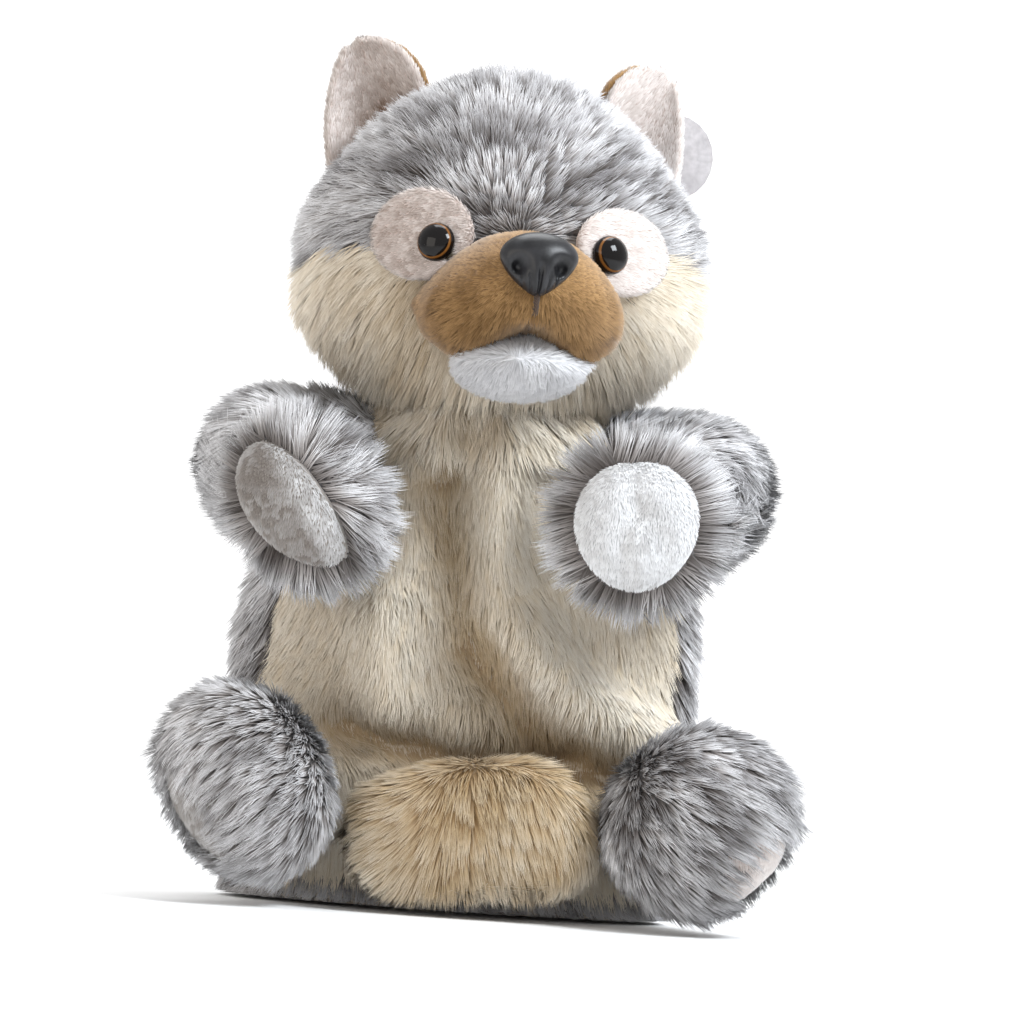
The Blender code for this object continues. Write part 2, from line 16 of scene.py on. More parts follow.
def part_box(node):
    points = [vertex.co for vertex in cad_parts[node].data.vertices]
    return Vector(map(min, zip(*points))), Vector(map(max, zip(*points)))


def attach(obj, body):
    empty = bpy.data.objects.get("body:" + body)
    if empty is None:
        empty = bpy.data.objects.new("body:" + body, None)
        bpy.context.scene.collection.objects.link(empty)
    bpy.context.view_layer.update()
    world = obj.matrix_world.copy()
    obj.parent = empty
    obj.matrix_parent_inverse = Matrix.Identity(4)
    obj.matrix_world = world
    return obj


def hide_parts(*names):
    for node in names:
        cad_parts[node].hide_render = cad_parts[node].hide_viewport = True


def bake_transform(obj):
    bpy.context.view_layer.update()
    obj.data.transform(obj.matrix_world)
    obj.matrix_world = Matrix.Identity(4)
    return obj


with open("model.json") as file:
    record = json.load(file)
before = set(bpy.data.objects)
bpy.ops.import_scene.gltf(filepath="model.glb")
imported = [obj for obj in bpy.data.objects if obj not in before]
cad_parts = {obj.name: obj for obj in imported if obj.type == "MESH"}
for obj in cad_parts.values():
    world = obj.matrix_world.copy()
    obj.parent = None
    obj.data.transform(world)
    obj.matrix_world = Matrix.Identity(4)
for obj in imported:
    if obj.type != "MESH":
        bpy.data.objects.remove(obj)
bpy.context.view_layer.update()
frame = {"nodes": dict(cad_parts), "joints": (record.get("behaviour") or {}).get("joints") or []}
SCENE = bpy.context.scene
SIDES = ((-1, "left"), (1, "right"))

# ---- places, from the frame ---------------------------------------------------------------------
HEAD_TURN = math.radians(8)  # the head looks a little to its left
HEAD_LIFT = math.radians(-6.5)  # and up
HEAD_AXES = Matrix.Rotation(HEAD_TURN, 3, "Z") @ Matrix.Rotation(HEAD_LIFT, 3, "X")


def box_middle(node):
    low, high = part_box(node)
    return (Vector(low) + Vector(high)) / 2


def node_points(*nodes):
    return np.array([v.co for node in nodes for v in frame["nodes"][node].data.vertices])


def joint_place(name):
    return Vector(next(j for j in frame["joints"] if j["name"] == name)["pos_m"])


EYES = {word: box_middle(f"eye_{word}") for _, word in SIDES}
NOSE = box_middle("nose")
NECK = joint_place("neck_turn")


# ---- camera, lights and stage -------------------------------------------------------------------
VIEW_DISTANCE = 2.60
VIEW_WIDTH = 0.3285  # what the picture takes in at the puppet's middle
VIEW_AIM = Vector((0.0041, 0.000, 0.1320))
VIEW_ROLL = math.radians(-4)
SENSOR = 36.0
FLOOR_DROP = 0.0005  # the floor lies a hair under the hem


def add_camera():
    camera = bpy.data.objects.new("camera", bpy.data.cameras.new("camera"))
    SCENE.collection.objects.link(camera)
    camera.data.sensor_width = SENSOR
    camera.data.lens = SENSOR * VIEW_DISTANCE / VIEW_WIDTH
    camera.data.clip_start = 0.05
    camera.location = VIEW_AIM + Vector((0.0, -VIEW_DISTANCE, 0.0))
    level = Matrix.Rotation(math.radians(90), 3, "X")
    camera.rotation_euler = (Matrix.Rotation(VIEW_ROLL, 3, "Y") @ level).to_euler()
    SCENE.camera = camera


def add_light(name, place, size, power, colour):
    light = bpy.data.objects.new(name, bpy.data.lights.new(name, "AREA"))
    SCENE.collection.objects.link(light)
    light.data.size, light.data.energy, light.data.color = size, power, colour
    light.location = place
    aim = Vector((0.0, 0.0, 0.13)) - Vector(place)
    light.rotation_euler = aim.to_track_quat("-Z", "Y").to_euler()


def add_stage():
    """A pale floor that turns up into a backdrop, whose far part glows so that it stays white."""
    front, depth, height, bend, half_width = -4.0, 3.6, 3.6, 0.8, 4.5
    turns = np.linspace(0.0, math.pi / 2, 12)
    profile = [(front, 0.0)]
    profile += [(depth - bend + bend * math.sin(t), bend - bend * math.cos(t)) for t in turns]
    profile.append((depth, height))
    bm = bmesh.new()
    rows = [[bm.verts.new((x, y, z - FLOOR_DROP)) for y, z in profile] for x in (-half_width, half_width)]
    for i in range(len(profile) - 1):
        bm.faces.new((rows[0][i], rows[1][i], rows[1][i + 1], rows[0][i + 1]))
    mesh = bpy.data.meshes.new("stage")
    bm.to_mesh(mesh)
    bm.free()
    mesh.shade_smooth()
    material, tree, shader = new_material("stage_paper", 0.95)
    shader.inputs["Base Color"].default_value = (0.90, 0.90, 0.90, 1.0)
    shader.inputs["Emission Color"].default_value = (1.0, 1.0, 1.0, 1.0)
    away = add_node(tree, "ShaderNodeSeparateXYZ", {"Vector": object_place(tree)}).outputs["Y"]
    reach = {"Value": away, "From Min": 0.6, "From Max": 3.2, "To Max": 0.40}
    glow = add_node(tree, "ShaderNodeMapRange", reach)
    tree.links.new(glow.outputs["Result"], shader.inputs["Emission Strength"])
    add_mesh("stage", mesh, material)


def light_scene():
    world = bpy.data.worlds.new("studio")
    world.use_nodes = True
    background = world.node_tree.nodes["Background"]
    background.inputs["Color"].default_value = (1.0, 1.0, 1.0, 1.0)
    background.inputs["Strength"].default_value = 0.80
    SCENE.world = world
    add_light("key", (0.75, -0.55, 0.95), 0.45, 17.0, (0.90, 0.95, 1.0))
    add_light("fill", (-0.9, -0.9, 0.35), 0.9, 5.0, (1.0, 0.93, 0.84))
    add_light("top", (0.0, 0.35, 1.2), 0.7, 9.0, (0.96, 0.98, 1.0))
    SCENE.view_settings.view_transform = "Standard"


# ---- materials ----------------------------------------------------------------------------------
def new_material(name, roughness, sheen=0.0):
    material = bpy.data.materials.new(name)
    material.use_nodes = True
    tree = material.node_tree
    shader = tree.nodes["Principled BSDF"]
    shader.inputs["Roughness"].default_value = roughness
    shader.inputs["Sheen Weight"].default_value = sheen
    return material, tree, shader


def add_node(tree, kind, inputs=None, **settings):
    """Adds a node; inputs maps a socket's name to a value or to the socket that feeds it."""
    node = tree.nodes.new(kind)
    for key, value in settings.items():
        setattr(node, key, value)
    for key, value in (inputs or {}).items():
        if isinstance(value, bpy.types.NodeSocket):
            tree.links.new(value, node.inputs[key])
        else:
            node.inputs[key].default_value = value
    return node


def add_ramp(tree, factor, stops):
    ramp = add_node(tree, "ShaderNodeValToRGB", {"Fac": factor})
    elements = ramp.color_ramp.elements
    while len(elements) < len(stops):
        elements.new(0.5)
    for element, (place, colour) in zip(elements, stops):
        element.position = place
        element.color = (*colour, 1.0)
    return ramp.outputs["Color"]


def mix_colours(tree, factor, first, second):
    mix = add_node(tree, "ShaderNodeMix", data_type="RGBA")
    for socket, value in zip((mix.inputs[0], mix.inputs[6], mix.inputs[7]), (factor, first, second)):
        if isinstance(value, bpy.types.NodeSocket):
            tree.links.new(value, socket)
        elif isinstance(value, tuple):
            socket.default_value = (*value, 1.0)
        else:
            socket.default_value = value
    return mix.outputs[2]


def object_place(tree):
    return add_node(tree, "ShaderNodeTexCoord").outputs["Object"]


def add_noise(tree, place, scale, detail=2.0):
    inputs = {"Vector": place, "Scale": scale, "Detail": detail}
    return add_node(tree, "ShaderNodeTexNoise", inputs).outputs["Fac"]


def add_wave(tree, place, scale, distortion, way):
    inputs = {"Vector": place, "Scale": scale, "Distortion": distortion}
    return add_node(tree, "ShaderNodeTexWave", inputs, bands_direction=way).outputs["Fac"]


def multiply(tree, first, second):
    return add_node(tree, "ShaderNodeMath", {0: first, 1: second}, operation="MULTIPLY").outputs[0]


def colour_by(tree, shader, factor, *stops):
    """Feeds the base colour from a ramp of (place, colour) stops."""
    tree.links.new(add_ramp(tree, factor, stops), shader.inputs["Base Color"])


def add_relief(tree, shader, height, strength, distance):
    relief = add_node(tree, "ShaderNodeBump", {"Height": height, "Strength": strength, "Distance": distance})
    tree.links.new(relief.outputs["Normal"], shader.inputs["Normal"])


def fur_material(name, dark, light, sheen=0.05):
    """Fur: a strand's colour runs from its root to its tip, between a dark and a light coat by its tone."""
    material, tree, shader = new_material(name, 0.9, sheen)
    shader.inputs["Sheen Roughness"].default_value = 0.5
    shader.inputs["Specular IOR Level"].default_value = 0.10
    uv = add_node(tree, "ShaderNodeUVMap", uv_map=STRAND_UV)
    split = add_node(tree, "ShaderNodeSeparateXYZ", {"Vector": uv.outputs["UV"]})
    tone, along = split.outputs["X"], split.outputs["Y"]
    dark, light = (
        add_ramp(tree, along, list(zip(places if len(colours) > 2 else (0.0, 1.0), colours)))
        for places, colours in ((DARK_STOPS, dark), (LIGHT_STOPS, light))
    )
    tree.links.new(mix_colours(tree, tone, dark, light), shader.inputs["Base Color"])
    return material


def cloth_material(name, dark, light):
    """Knitted backing or velour: a fine grain of loops over a slow change of shade."""
    material, tree, shader = new_material(name, 0.9, 0.4)
    place = object_place(tree)
    slow, fine = add_noise(tree, place, 45.0, 4.0), add_noise(tree, place, 900.0, 3.0)
    colour_by(tree, shader, multiply(tree, slow, fine), (0.12, dark), (0.42, light))
    add_relief(tree, shader, fine, 0.25, 0.0006)
    return material


def weave_material(name, dark, light):
    """Thin woven cloth: threads over and under each other, 0.5 mm apart."""
    material, tree, shader = new_material(name, 0.9, 0.2)
    place = object_place(tree)
    height = multiply(tree, *(add_wave(tree, place, 320.0, 0.6, way) for way in ("DIAGONAL", "Z")))
    colour_by(tree, shader, height, (0.0, dark), (0.7, light))
    add_relief(tree, shader, height, 0.4, 0.0003)
    return material


STRAND_UV = "OFBake"  # across: a strand's tone; up: from its root to its tip


# ---- skins --------------------------------------------------------------------------------------
def add_mesh(name, mesh, *materials):
    piece = bpy.data.objects.new(name, mesh)
    SCENE.collection.objects.link(piece)
    for material in materials:
        mesh.materials.append(material)
    return piece


def finished(piece):
    """Applies a piece's modifiers."""
    bpy.context.view_layer.update()
    graph = bpy.context.evaluated_depsgraph_get()
    mesh = bpy.data.meshes.new_from_object(piece.evaluated_get(graph), depsgraph=graph)
    piece.modifiers.clear()
    old, piece.data = piece.data, mesh
    bpy.data.meshes.remove(old)


def thicken(piece, thickness):
    """Gives a sheet its thickness, inwards."""
    modifier = piece.modifiers.new("thickness", "SOLIDIFY")
    modifier.thickness, modifier.offset = thickness, -1.0
    finished(piece)


def mesh_from(name, places, faces):
    mesh = bpy.data.meshes.new(name)
    mesh.from_pydata([tuple(place) for place in places], [], faces)
    return mesh


def ring_faces(rings, around, first=0):
    """Quads between closed rings of points that follow each other, the first point numbered first."""
    starts = [first + ring * around for ring in range(rings)]
    return [
        (low + j, high + j, high + (j + 1) % around, low + (j + 1) % around)
        for low, high in zip(starts, starts[1:])
        for j in range(around)
    ]


def tube_mesh(name, route, radius, resolution, shares=None):
    """A tube along a route: straight and capped, or curved and open where each point has its share."""
    curve = bpy.data.curves.new("route", "CURVE")
    curve.dimensions, curve.bevel_depth, curve.bevel_resolution = "3D", radius, resolution
    curve.resolution_u, curve.use_fill_caps = 8, shares is None
    spline = curve.splines.new("NURBS" if shares else "POLY")
    spline.points.add(len(route) - 1)
    for point, place, share in zip(spline.points, route, shares or [1.0] * len(route)):
        point.co, point.radius = (*place, 1.0), share
    if shares:
        spline.use_endpoint_u, spline.order_u = True, 3
    holder = bpy.data.objects.new("route", curve)
    SCENE.collection.objects.link(holder)
    bpy.context.view_layer.update()
    mesh = bpy.data.meshes.new_from_object(holder.evaluated_get(bpy.context.evaluated_depsgraph_get()))
    bpy.data.objects.remove(holder)
    mesh.name = name
    mesh.materials.clear()
    mesh.shade_smooth()
    return mesh


def skin_tree(piece):
    """A piece's surface, for finding where a ray meets it."""
    faces = [tuple(face.vertices) for face in piece.data.polygons]
    return BVHTree.FromPolygons([vert.co.copy() for vert in piece.data.vertices], faces)


def hull_of(name, nodes, inset):
    """A closed skin round CAD nodes, evenly meshed, drawn in by inset along its normals."""
    bm = bmesh.new()
    for point in node_points(*nodes):
        bm.verts.new(point)
    made = bmesh.ops.convex_hull(bm, input=bm.verts)
    unused = [e for e in made["geom_interior"] if isinstance(e, bmesh.types.BMVert)]
    bmesh.ops.delete(bm, geom=unused, context="VERTS")
    mesh = bpy.data.meshes.new(name)
    bm.to_mesh(mesh)
    bm.free()
    piece = add_mesh(name, mesh)
    remesh = piece.modifiers.new("even", "REMESH")
    remesh.mode, remesh.voxel_size = "VOXEL", VOXEL
    finished(piece)
    relax(piece, 4)
    for vert in piece.data.vertices:
        vert.co -= vert.normal * inset
    return piece


def relax(piece, rounds):
    piece.modifiers.new("relax", "SMOOTH").iterations = rounds
    finished(piece)


def swell(pieces, pressure=4.0, reach=0.006, frames=20):
    """One cloth simulation in which the stuffing swells every skin; no point moves further than reach."""
    before = {}
    for piece in pieces:
        before[piece.name] = mesh_array(piece.data.vertices, "co", 3)
        cloth = piece.modifiers.new("cloth", "CLOTH")
        settings = cloth.settings
        settings.quality = 5
        settings.use_pressure, settings.uniform_pressure_force = True, pressure
        settings.tension_stiffness = settings.compression_stiffness = 10.0
        settings.effector_weights.gravity = 0.0
        cloth.point_cache.frame_end = frames
    for step in range(1, frames + 1):
        SCENE.frame_set(step)
    graph = bpy.context.evaluated_depsgraph_get()
    after = {
        piece.name: mesh_array(piece.evaluated_get(graph).data.vertices, "co", 3) for piece in pieces
    }
    for piece in pieces:
        piece.modifiers.clear()
        moved = after[piece.name] - before[piece.name]
        length = np.linalg.norm(moved, axis=1, keepdims=True)
        moved *= np.minimum(1.0, reach / np.maximum(length, 1e-9))
        piece.data.vertices.foreach_set("co", (before[piece.name] + moved).ravel())
    SCENE.frame_set(1)


def reshape(piece, scale, shift):
    """Scales a form about its middle, and shifts it, along the head's axes."""

    def moved(places, normals):
        middle = places.mean(axis=0)
        q = (places - middle) @ np.array(HEAD_AXES)
        return from_head(q * np.array(scale) + np.array(shift)) + middle - places

    move_points(piece, moved)


def subdivide(piece, levels=1):
    modifier = piece.modifiers.new("fine", "SUBSURF")
    modifier.levels = modifier.render_levels = levels
    finished(piece)
    piece.data.shade_smooth()


def mesh_array(items, name, width, kind=np.float32):
    values = np.empty(len(items) * width, kind)
    items.foreach_get(name, values)
    return values.reshape(-1, width).astype(float if kind == np.float32 else int)


def move_points(piece, shift):
    """Moves a finished piece's points by shift(places, normals), an array of offsets."""
    mesh = piece.data
    places = mesh_array(mesh.vertices, "co", 3)
    normals = mesh_array(mesh.vertex_normals, "vector", 3)
    mesh.vertices.foreach_set("co", (places + shift(places, normals)).ravel())
    mesh.update()


VOXEL = 0.0045


# ---- fields -------------------------------------------------------------------------------------
def unit(vectors):
    return vectors / np.maximum(np.linalg.norm(vectors, axis=-1, keepdims=True), 1e-9)


def ripple(places, size, seed, waves=7):
    """A smooth random field from -1 to 1, whose lumps are about size across."""
    rng = np.random.default_rng(seed)
    total = np.zeros(len(places))
    for _ in range(waves):
        direction = unit(rng.normal(size=3)) * 2 * math.pi / (size * rng.uniform(1.3, 2.8))
        total += np.sin(places @ direction + rng.uniform(0, 2 * math.pi))
    return np.clip(total / math.sqrt(waves) * 0.9, -1.0, 1.0)


def drift(places, size, seed):
    """A smooth random vector field."""
    return np.stack([ripple(places, size, seed + i) for i in range(3)], axis=1)


def near(places, middle, reach):
    """1 at middle and falling smoothly to 0 about reach away; middle and reach can differ by axis."""
    offset = (places - np.array(middle)) / np.array(reach)
    return np.exp(-np.sum(offset * offset, axis=1))


def along_line(places, line, width):
    """1 on a line of points and falling smoothly to 0 beside it."""
    best = np.full(len(places), 1e9)
    for first, second in zip(line, line[1:]):
        a, b = np.array(first), np.array(second)
        share = np.clip((places - a) @ (b - a) / ((b - a) @ (b - a)), 0.0, 1.0)
        best = np.minimum(best, np.linalg.norm(places - (a + share[:, None] * (b - a)), axis=1))
    return np.exp(-((best / width) ** 2))


def smooth_step(value, low, high):
    t = np.clip((value - low) / (high - low), 0.0, 1.0)
    return t * t * (3 - 2 * t)


def in_head(places):
    """Places in the head's own axes, its middle at the origin."""
    return (places - np.array(HEAD_MIDDLE)) @ np.array(HEAD_AXES)


def from_head(vectors):
    return vectors @ np.array(HEAD_AXES).T


HEAD_MIDDLE = NECK + Vector((0.0, -0.010, 0.047))


# ---- fur ----------------------------------------------------------------------------------------
class Coat:
    """How a kind of fur grows; lengths in metres."""

    def __init__(
        self, length, spacing, width, lift, clump, pull, droop=0.0, soft=0.70, vary=0.07, stray=0.45
    ):
        self.length, self.width, self.lift = length, width, lift
        self.density = 1.0 / spacing**2
        self.clump, self.pull, self.droop = clump, pull, droop
        self.soft = soft  # how far a strand is shaded like the skin that it covers
        self.vary, self.stray = vary, stray  # from strand to strand, and from clump to clump


LONG = Coat(0.0120, 0.00072, 0.00062, 0.32, 0.0036, 0.60, 0.12)
SPARSE = Coat(0.0120, 0.00098, 0.00085, 0.32, 0.0038, 0.60, 0.12)
RUFF = Coat(0.0145, 0.00068, 0.00058, 0.24, 0.0042, 0.50, 0.18, soft=0.80, stray=0.30)
SLEEK = Coat(0.0100, 0.00066, 0.00056, 0.15, 0.0044, 0.40, 0.05, soft=0.85, vary=0.05, stray=0.22)
PLUSH = Coat(0.0046, 0.00050, 0.00046, 0.40, 0.0024, 0.40, 0.05, soft=0.85, vary=0.05, stray=0.30)
RIM = Coat(0.0115, 0.00074, 0.00064, 0.40, 0.0046, 0.65, 0.12, stray=0.85)
SHORT = Coat(0.0022, 0.00046, 0.00048, 0.50, 0.0022, 0.20, soft=0.94, vary=0.03, stray=0.12)
VELOUR = Coat(0.0018, 0.00046, 0.00050, 0.55, 0.0030, 0.15, soft=0.97, vary=0.02, stray=0.08)
ROOT_SHARE = 0.035  # of a strand, standing in its skin
FLOOR = 0.0006  # the height at which strands that hang down to the floor end


def sample_skin(piece, density, rng):
    """Roots scattered evenly over a skin, each with the skin's normal."""
    mesh = piece.data
    mesh.calc_loop_triangles()
    places = mesh_array(mesh.vertices, "co", 3)
    normals = mesh_array(mesh.vertex_normals, "vector", 3)
    corners = mesh_array(mesh.loop_triangles, "vertices", 3, np.int32)
    a, b, c = (places[corners[:, i]] for i in range(3))
    sums = np.cumsum(np.linalg.norm(np.cross(b - a, c - a), axis=1) / 2)
    count = int(sums[-1] * density)
    picks = (np.arange(count) + rng.random(count)) / count * sums[-1]
    picked = corners[np.searchsorted(sums, picks).clip(0, len(corners) - 1)]
    u, v = rng.random(count), rng.random(count)
    over = u + v > 1.0
    u[over], v[over] = 1.0 - u[over], 1.0 - v[over]
    shares = np.stack([1.0 - u - v, u, v], axis=1)
    root = np.einsum("ij,ijk->ik", shares, places[picked])
    return root, unit(np.einsum("ij,ijk->ik", shares, normals[picked]))


def clump_ends(roots, size, rng):
    """For each strand, the root of the clump that it leans to, and the clump's number."""
    cells = np.floor(roots / size).astype(int)
    _, chosen = np.unique(cells, axis=0, return_index=True)
    chosen = np.sort(rng.permutation(chosen))
    tree = kdtree.KDTree(len(chosen))
    for number, index in enumerate(chosen):
        tree.insert(roots[index], number)
    tree.balance()
    nearest = np.array([tree.find(root)[1] for root in roots])
    return roots[chosen[nearest]], nearest


def grow(name, skin, coat, material, seed, flow, keep=None, tone=None, length=None, lift=None, spread=0.30):
    """One piece of fur on a skin. flow, keep, tone, length and lift are functions of roots and normals."""
    rng = np.random.default_rng(seed)
    root, normal = sample_skin(skin, coat.density, rng)
    if keep is not None:
        kept = keep(root, normal)
        root, normal = root[kept], normal[kept]
    count = len(root)
    clump_root, clump = clump_ends(root, coat.clump, rng)
    per_clump = rng.random((clump.max() + 1, 3))

    lie = np.asarray(flow(root, normal), float) + rng.normal(scale=0.10, size=(count, 3))
    lie += (per_clump[clump] - 0.5) * coat.stray
    lie = unit(lie - np.sum(lie * normal, axis=1, keepdims=True) * normal)
    rise = coat.lift * (lift(root, normal) if lift else 1.0)
    rise = rise + rng.normal(scale=0.05, size=count) + (per_clump[clump, 0] - 0.5) * 0.16
    rise = np.clip(rise, 0.04, 1.4)
    first = unit(normal * (rise + 0.35)[:, None] + lie)
    last = unit(normal * (rise * 0.55)[:, None] + lie + np.array((0.0, 0.0, -coat.droop)))
    reach = coat.length * (length(root, normal) if length else 1.0)
    reach = reach * rng.uniform(0.80, 1.12, count) * (0.88 + 0.24 * per_clump[clump, 1])

    start = root - normal * (coat.length * ROOT_SHARE)
    pull = (clump_root - root) * coat.pull
    pull -= np.sum(pull * normal, axis=1, keepdims=True) * normal
    shade = 0.5 if tone is None else tone(root, normal)
    shade = shade + rng.normal(scale=coat.vary, size=count) + (per_clump[clump, 2] - 0.5) * spread
    shade = np.clip(shade, 0.02, 0.98)
    width = coat.width * rng.uniform(0.8, 1.2, count) / 2

    end = start + reach[:, None] * (0.6 * first + 0.4 * last) + pull
    end[:, 2] = np.maximum(end[:, 2], FLOOR + np.abs(rng.normal(scale=0.0008, size=count)))
    tangent = unit(end - start)
    side = unit(np.cross(normal, tangent))
    up = np.cross(tangent, side)
    corners, normals = [], []
    for corner in range(3):
        turn = math.radians(90 + 120 * corner)
        outward = side * math.cos(turn) + up * math.sin(turn)
        corners.append(start + outward * width[:, None])
        normals.append(unit(outward * (1 - coat.soft) + normal * coat.soft))
    corners.append(end)
    normals.append(unit(last * (1 - coat.soft) * 0.6 + normal * coat.soft))
    return strand_mesh(name, corners, normals, shade, material)


def strand_mesh(name, corners, normals, shade, material):
    """Many strands as one mesh: each is a thin spike on a closed three-sided foot."""
    count = len(shade)
    places = np.stack(corners, axis=1).reshape(-1, 3)
    pattern = np.array(((2, 1, 0), (0, 1, 3), (1, 2, 3), (2, 0, 3)))
    across = np.array(((2, 1, 0), (0, 1, 1), (1, 2, 1), (2, 0, 1))) - 1
    loops = (np.arange(count)[:, None] * 4 + pattern.ravel()[None, :]).ravel()
    mesh = bpy.data.meshes.new(name)
    mesh.vertices.add(len(places))
    mesh.vertices.foreach_set("co", places.ravel())
    mesh.loops.add(len(loops))
    mesh.loops.foreach_set("vertex_index", loops)
    mesh.polygons.add(len(loops) // 3)
    mesh.polygons.foreach_set("loop_start", np.arange(0, len(loops), 3))
    mesh.update(calc_edges=True)
    uv = mesh.uv_layers.new(name=STRAND_UV)
    tones = shade[:, None] + across.ravel()[None, :] * 0.008
    heights = np.tile(np.where(pattern.ravel() == 3, 0.98, 0.02), count)
    uv.data.foreach_set("uv", np.stack([tones.ravel(), heights], axis=1).ravel())
    mesh.shade_smooth()
    mesh.normals_split_custom_set_from_vertices(np.stack(normals, axis=1).reshape(-1, 3))
    return add_mesh(name, mesh, material)


# ---- coats and cloths ---------------------------------------------------------------------------
DARK_STOPS, LIGHT_STOPS = (0.0, 0.45, 0.80, 1.0), (0.0, 0.40, 0.75, 1.0)  # along a long strand
FROST = fur_material(
    "frosted_fur",
    ((0.032, 0.025, 0.021), (0.085, 0.073, 0.068), (0.22, 0.21, 0.21), (0.46, 0.46, 0.49)),
    ((0.13, 0.11, 0.10), (0.42, 0.395, 0.385), (0.80, 0.795, 0.81), (0.95, 0.95, 0.97)),
)
CREAM = fur_material(
    "cream_fur",
    ((0.28, 0.19, 0.11), (0.45, 0.33, 0.20), (0.60, 0.47, 0.31), (0.71, 0.58, 0.41)),
    ((0.72, 0.60, 0.44), (0.88, 0.78, 0.62), (0.95, 0.88, 0.76), (0.99, 0.95, 0.87)),
)
GOLDEN = fur_material(
    "golden_cream_fur",
    ((0.16, 0.09, 0.035), (0.36, 0.23, 0.11), (0.56, 0.41, 0.23), (0.74, 0.60, 0.42)),
    ((0.42, 0.29, 0.16), (0.74, 0.60, 0.41), (0.90, 0.82, 0.68), (0.97, 0.94, 0.87)),
)
TAN = fur_material(
    "tan_plush",
    ((0.070, 0.035, 0.012), (0.20, 0.105, 0.035)),
    ((0.22, 0.12, 0.045), (0.56, 0.34, 0.15)),
    sheen=0.3,
)
WHITE = fur_material(
    "white_plush",
    ((0.30, 0.30, 0.31), (0.52, 0.52, 0.54)),
    ((0.55, 0.55, 0.56), (0.88, 0.88, 0.90)),
    sheen=0.3,
)
# Its dark coat is mostly painted shade, which the ear hollows and the shaded left eye patch take.
PINK = fur_material(
    "pink_white_plush",
    ((0.15, 0.09, 0.06), (0.26, 0.165, 0.115)),
    ((0.70, 0.60, 0.55), (0.98, 0.93, 0.90)),
    sheen=0.3,
)
VELOUR_WHITE = fur_material(
    "pad_plush",
    ((0.15, 0.13, 0.115), (0.29, 0.255, 0.23)),
    ((0.68, 0.68, 0.68), (0.96, 0.97, 0.99)),
    sheen=0.4,
)
SOLE_PINK = fur_material(
    "sole_plush",
    ((0.36, 0.30, 0.27), (0.58, 0.50, 0.45)),
    ((0.70, 0.62, 0.58), (0.96, 0.90, 0.87)),
    sheen=0.4,
)
FROST_SKIN = cloth_material("frosted_backing", (0.035, 0.032, 0.033), (0.14, 0.13, 0.13))
CREAM_SKIN = cloth_material("cream_backing", (0.40, 0.31, 0.21), (0.70, 0.61, 0.49))
GOLDEN_SKIN = cloth_material("golden_backing", (0.16, 0.09, 0.04), (0.42, 0.30, 0.17))
TAN_SKIN = cloth_material("tan_backing", (0.12, 0.06, 0.02), (0.34, 0.19, 0.07))
WHITE_SKIN = cloth_material("white_backing", (0.40, 0.40, 0.41), (0.72, 0.72, 0.74))
PINK_SKIN = cloth_material("pink_backing", (0.42, 0.30, 0.25), (0.80, 0.70, 0.66))
LINING = weave_material("lining", (0.30, 0.29, 0.28), (0.66, 0.64, 0.62))


# ---- head ---------------------------------------------------------------------------------------
STREAKS = 0.62  # how far the clumps of frosted fur differ in tone
FACE_MIDDLE = (0.0, -0.050, 0.000)  # in the head's axes, where the fur parts
GREY_LINE = -0.002  # the height in the head's axes at which grey turns to cream
MUZZLE_MIDDLE = (0.0, -0.052, -0.018)
BACK_HALF = 0.012  # behind this the head's fur is the back panel's


def head_flow(places, normals):
    q = in_head(places)
    away = unit(q - np.array(FACE_MIDDLE))
    fall = smooth_step(-q[:, 2], -0.010, 0.030)[:, None] * np.array((0.0, 0.0, -0.9))
    return from_head(away) + fall + drift(places, 0.05, 11) * 0.35


def above_grey_line(places):
    """Positive where the head is grey, in metres above the line that runs from cheek to cheek."""
    q = in_head(places)
    behind = smooth_step(q[:, 1], 0.000, 0.022)
    line = GREY_LINE + ripple(places, 0.012, 5) * 0.003 - behind * 0.060
    return q[:, 2] - line


def crown_tone(places, normals):
    q = in_head(places)
    brow = near(np.abs(q) * (1, 1, 0) + q * (0, 0, 1), (0.034, 0.044, 0.022), (0.022, 0.020, 0.007))
    edge = smooth_step(np.abs(q[:, 0]), 0.030, 0.055)
    return 0.46 + ripple(places, 0.010, 21) * 0.28 + 0.12 * edge - 0.38 * brow


def crown_length(places, normals):
    q = in_head(places)
    tuft = near(q, (0.004, -0.005, 0.062), (0.016, 0.020, 0.020))
    close = smooth_step(np.linalg.norm(q - np.array(FACE_MIDDLE), axis=1), 0.012, 0.040)
    return (0.50 + 0.40 * close) + 0.75 * tuft


def cheek_tone(places, normals):
    q = in_head(places)
    close = near(q, MUZZLE_MIDDLE, (0.046, 0.046, 0.032))
    # Painted light: right lightens the cheek on the lit right side and weakens its darkening round the
    # muzzle.
    right = smooth_step(q[:, 0], -0.02, 0.02)
    return 0.66 + 0.22 * right + ripple(places, 0.012, 23) * 0.12 - (0.50 - 0.18 * right) * close


def cheek_length(places, normals):
    q = in_head(places)
    below = smooth_step(-q[:, 2], 0.022, 0.040)
    return 0.95 - 0.50 * near(q, MUZZLE_MIDDLE, (0.040, 0.030, 0.026)) + 0.50 * below


def shape_skull(skull):
    """Full cheeks under a narrower crown."""

    def moved(places, normals):
        x, _, z = in_head(places).T
        full = 0.065 - 0.105 * smooth_step(z, 0.004, 0.036) + 0.090 * smooth_step(-z, 0.002, 0.028)
        return from_head(np.stack([x * full, x * 0, x * 0], axis=1))

    move_points(skull, moved)


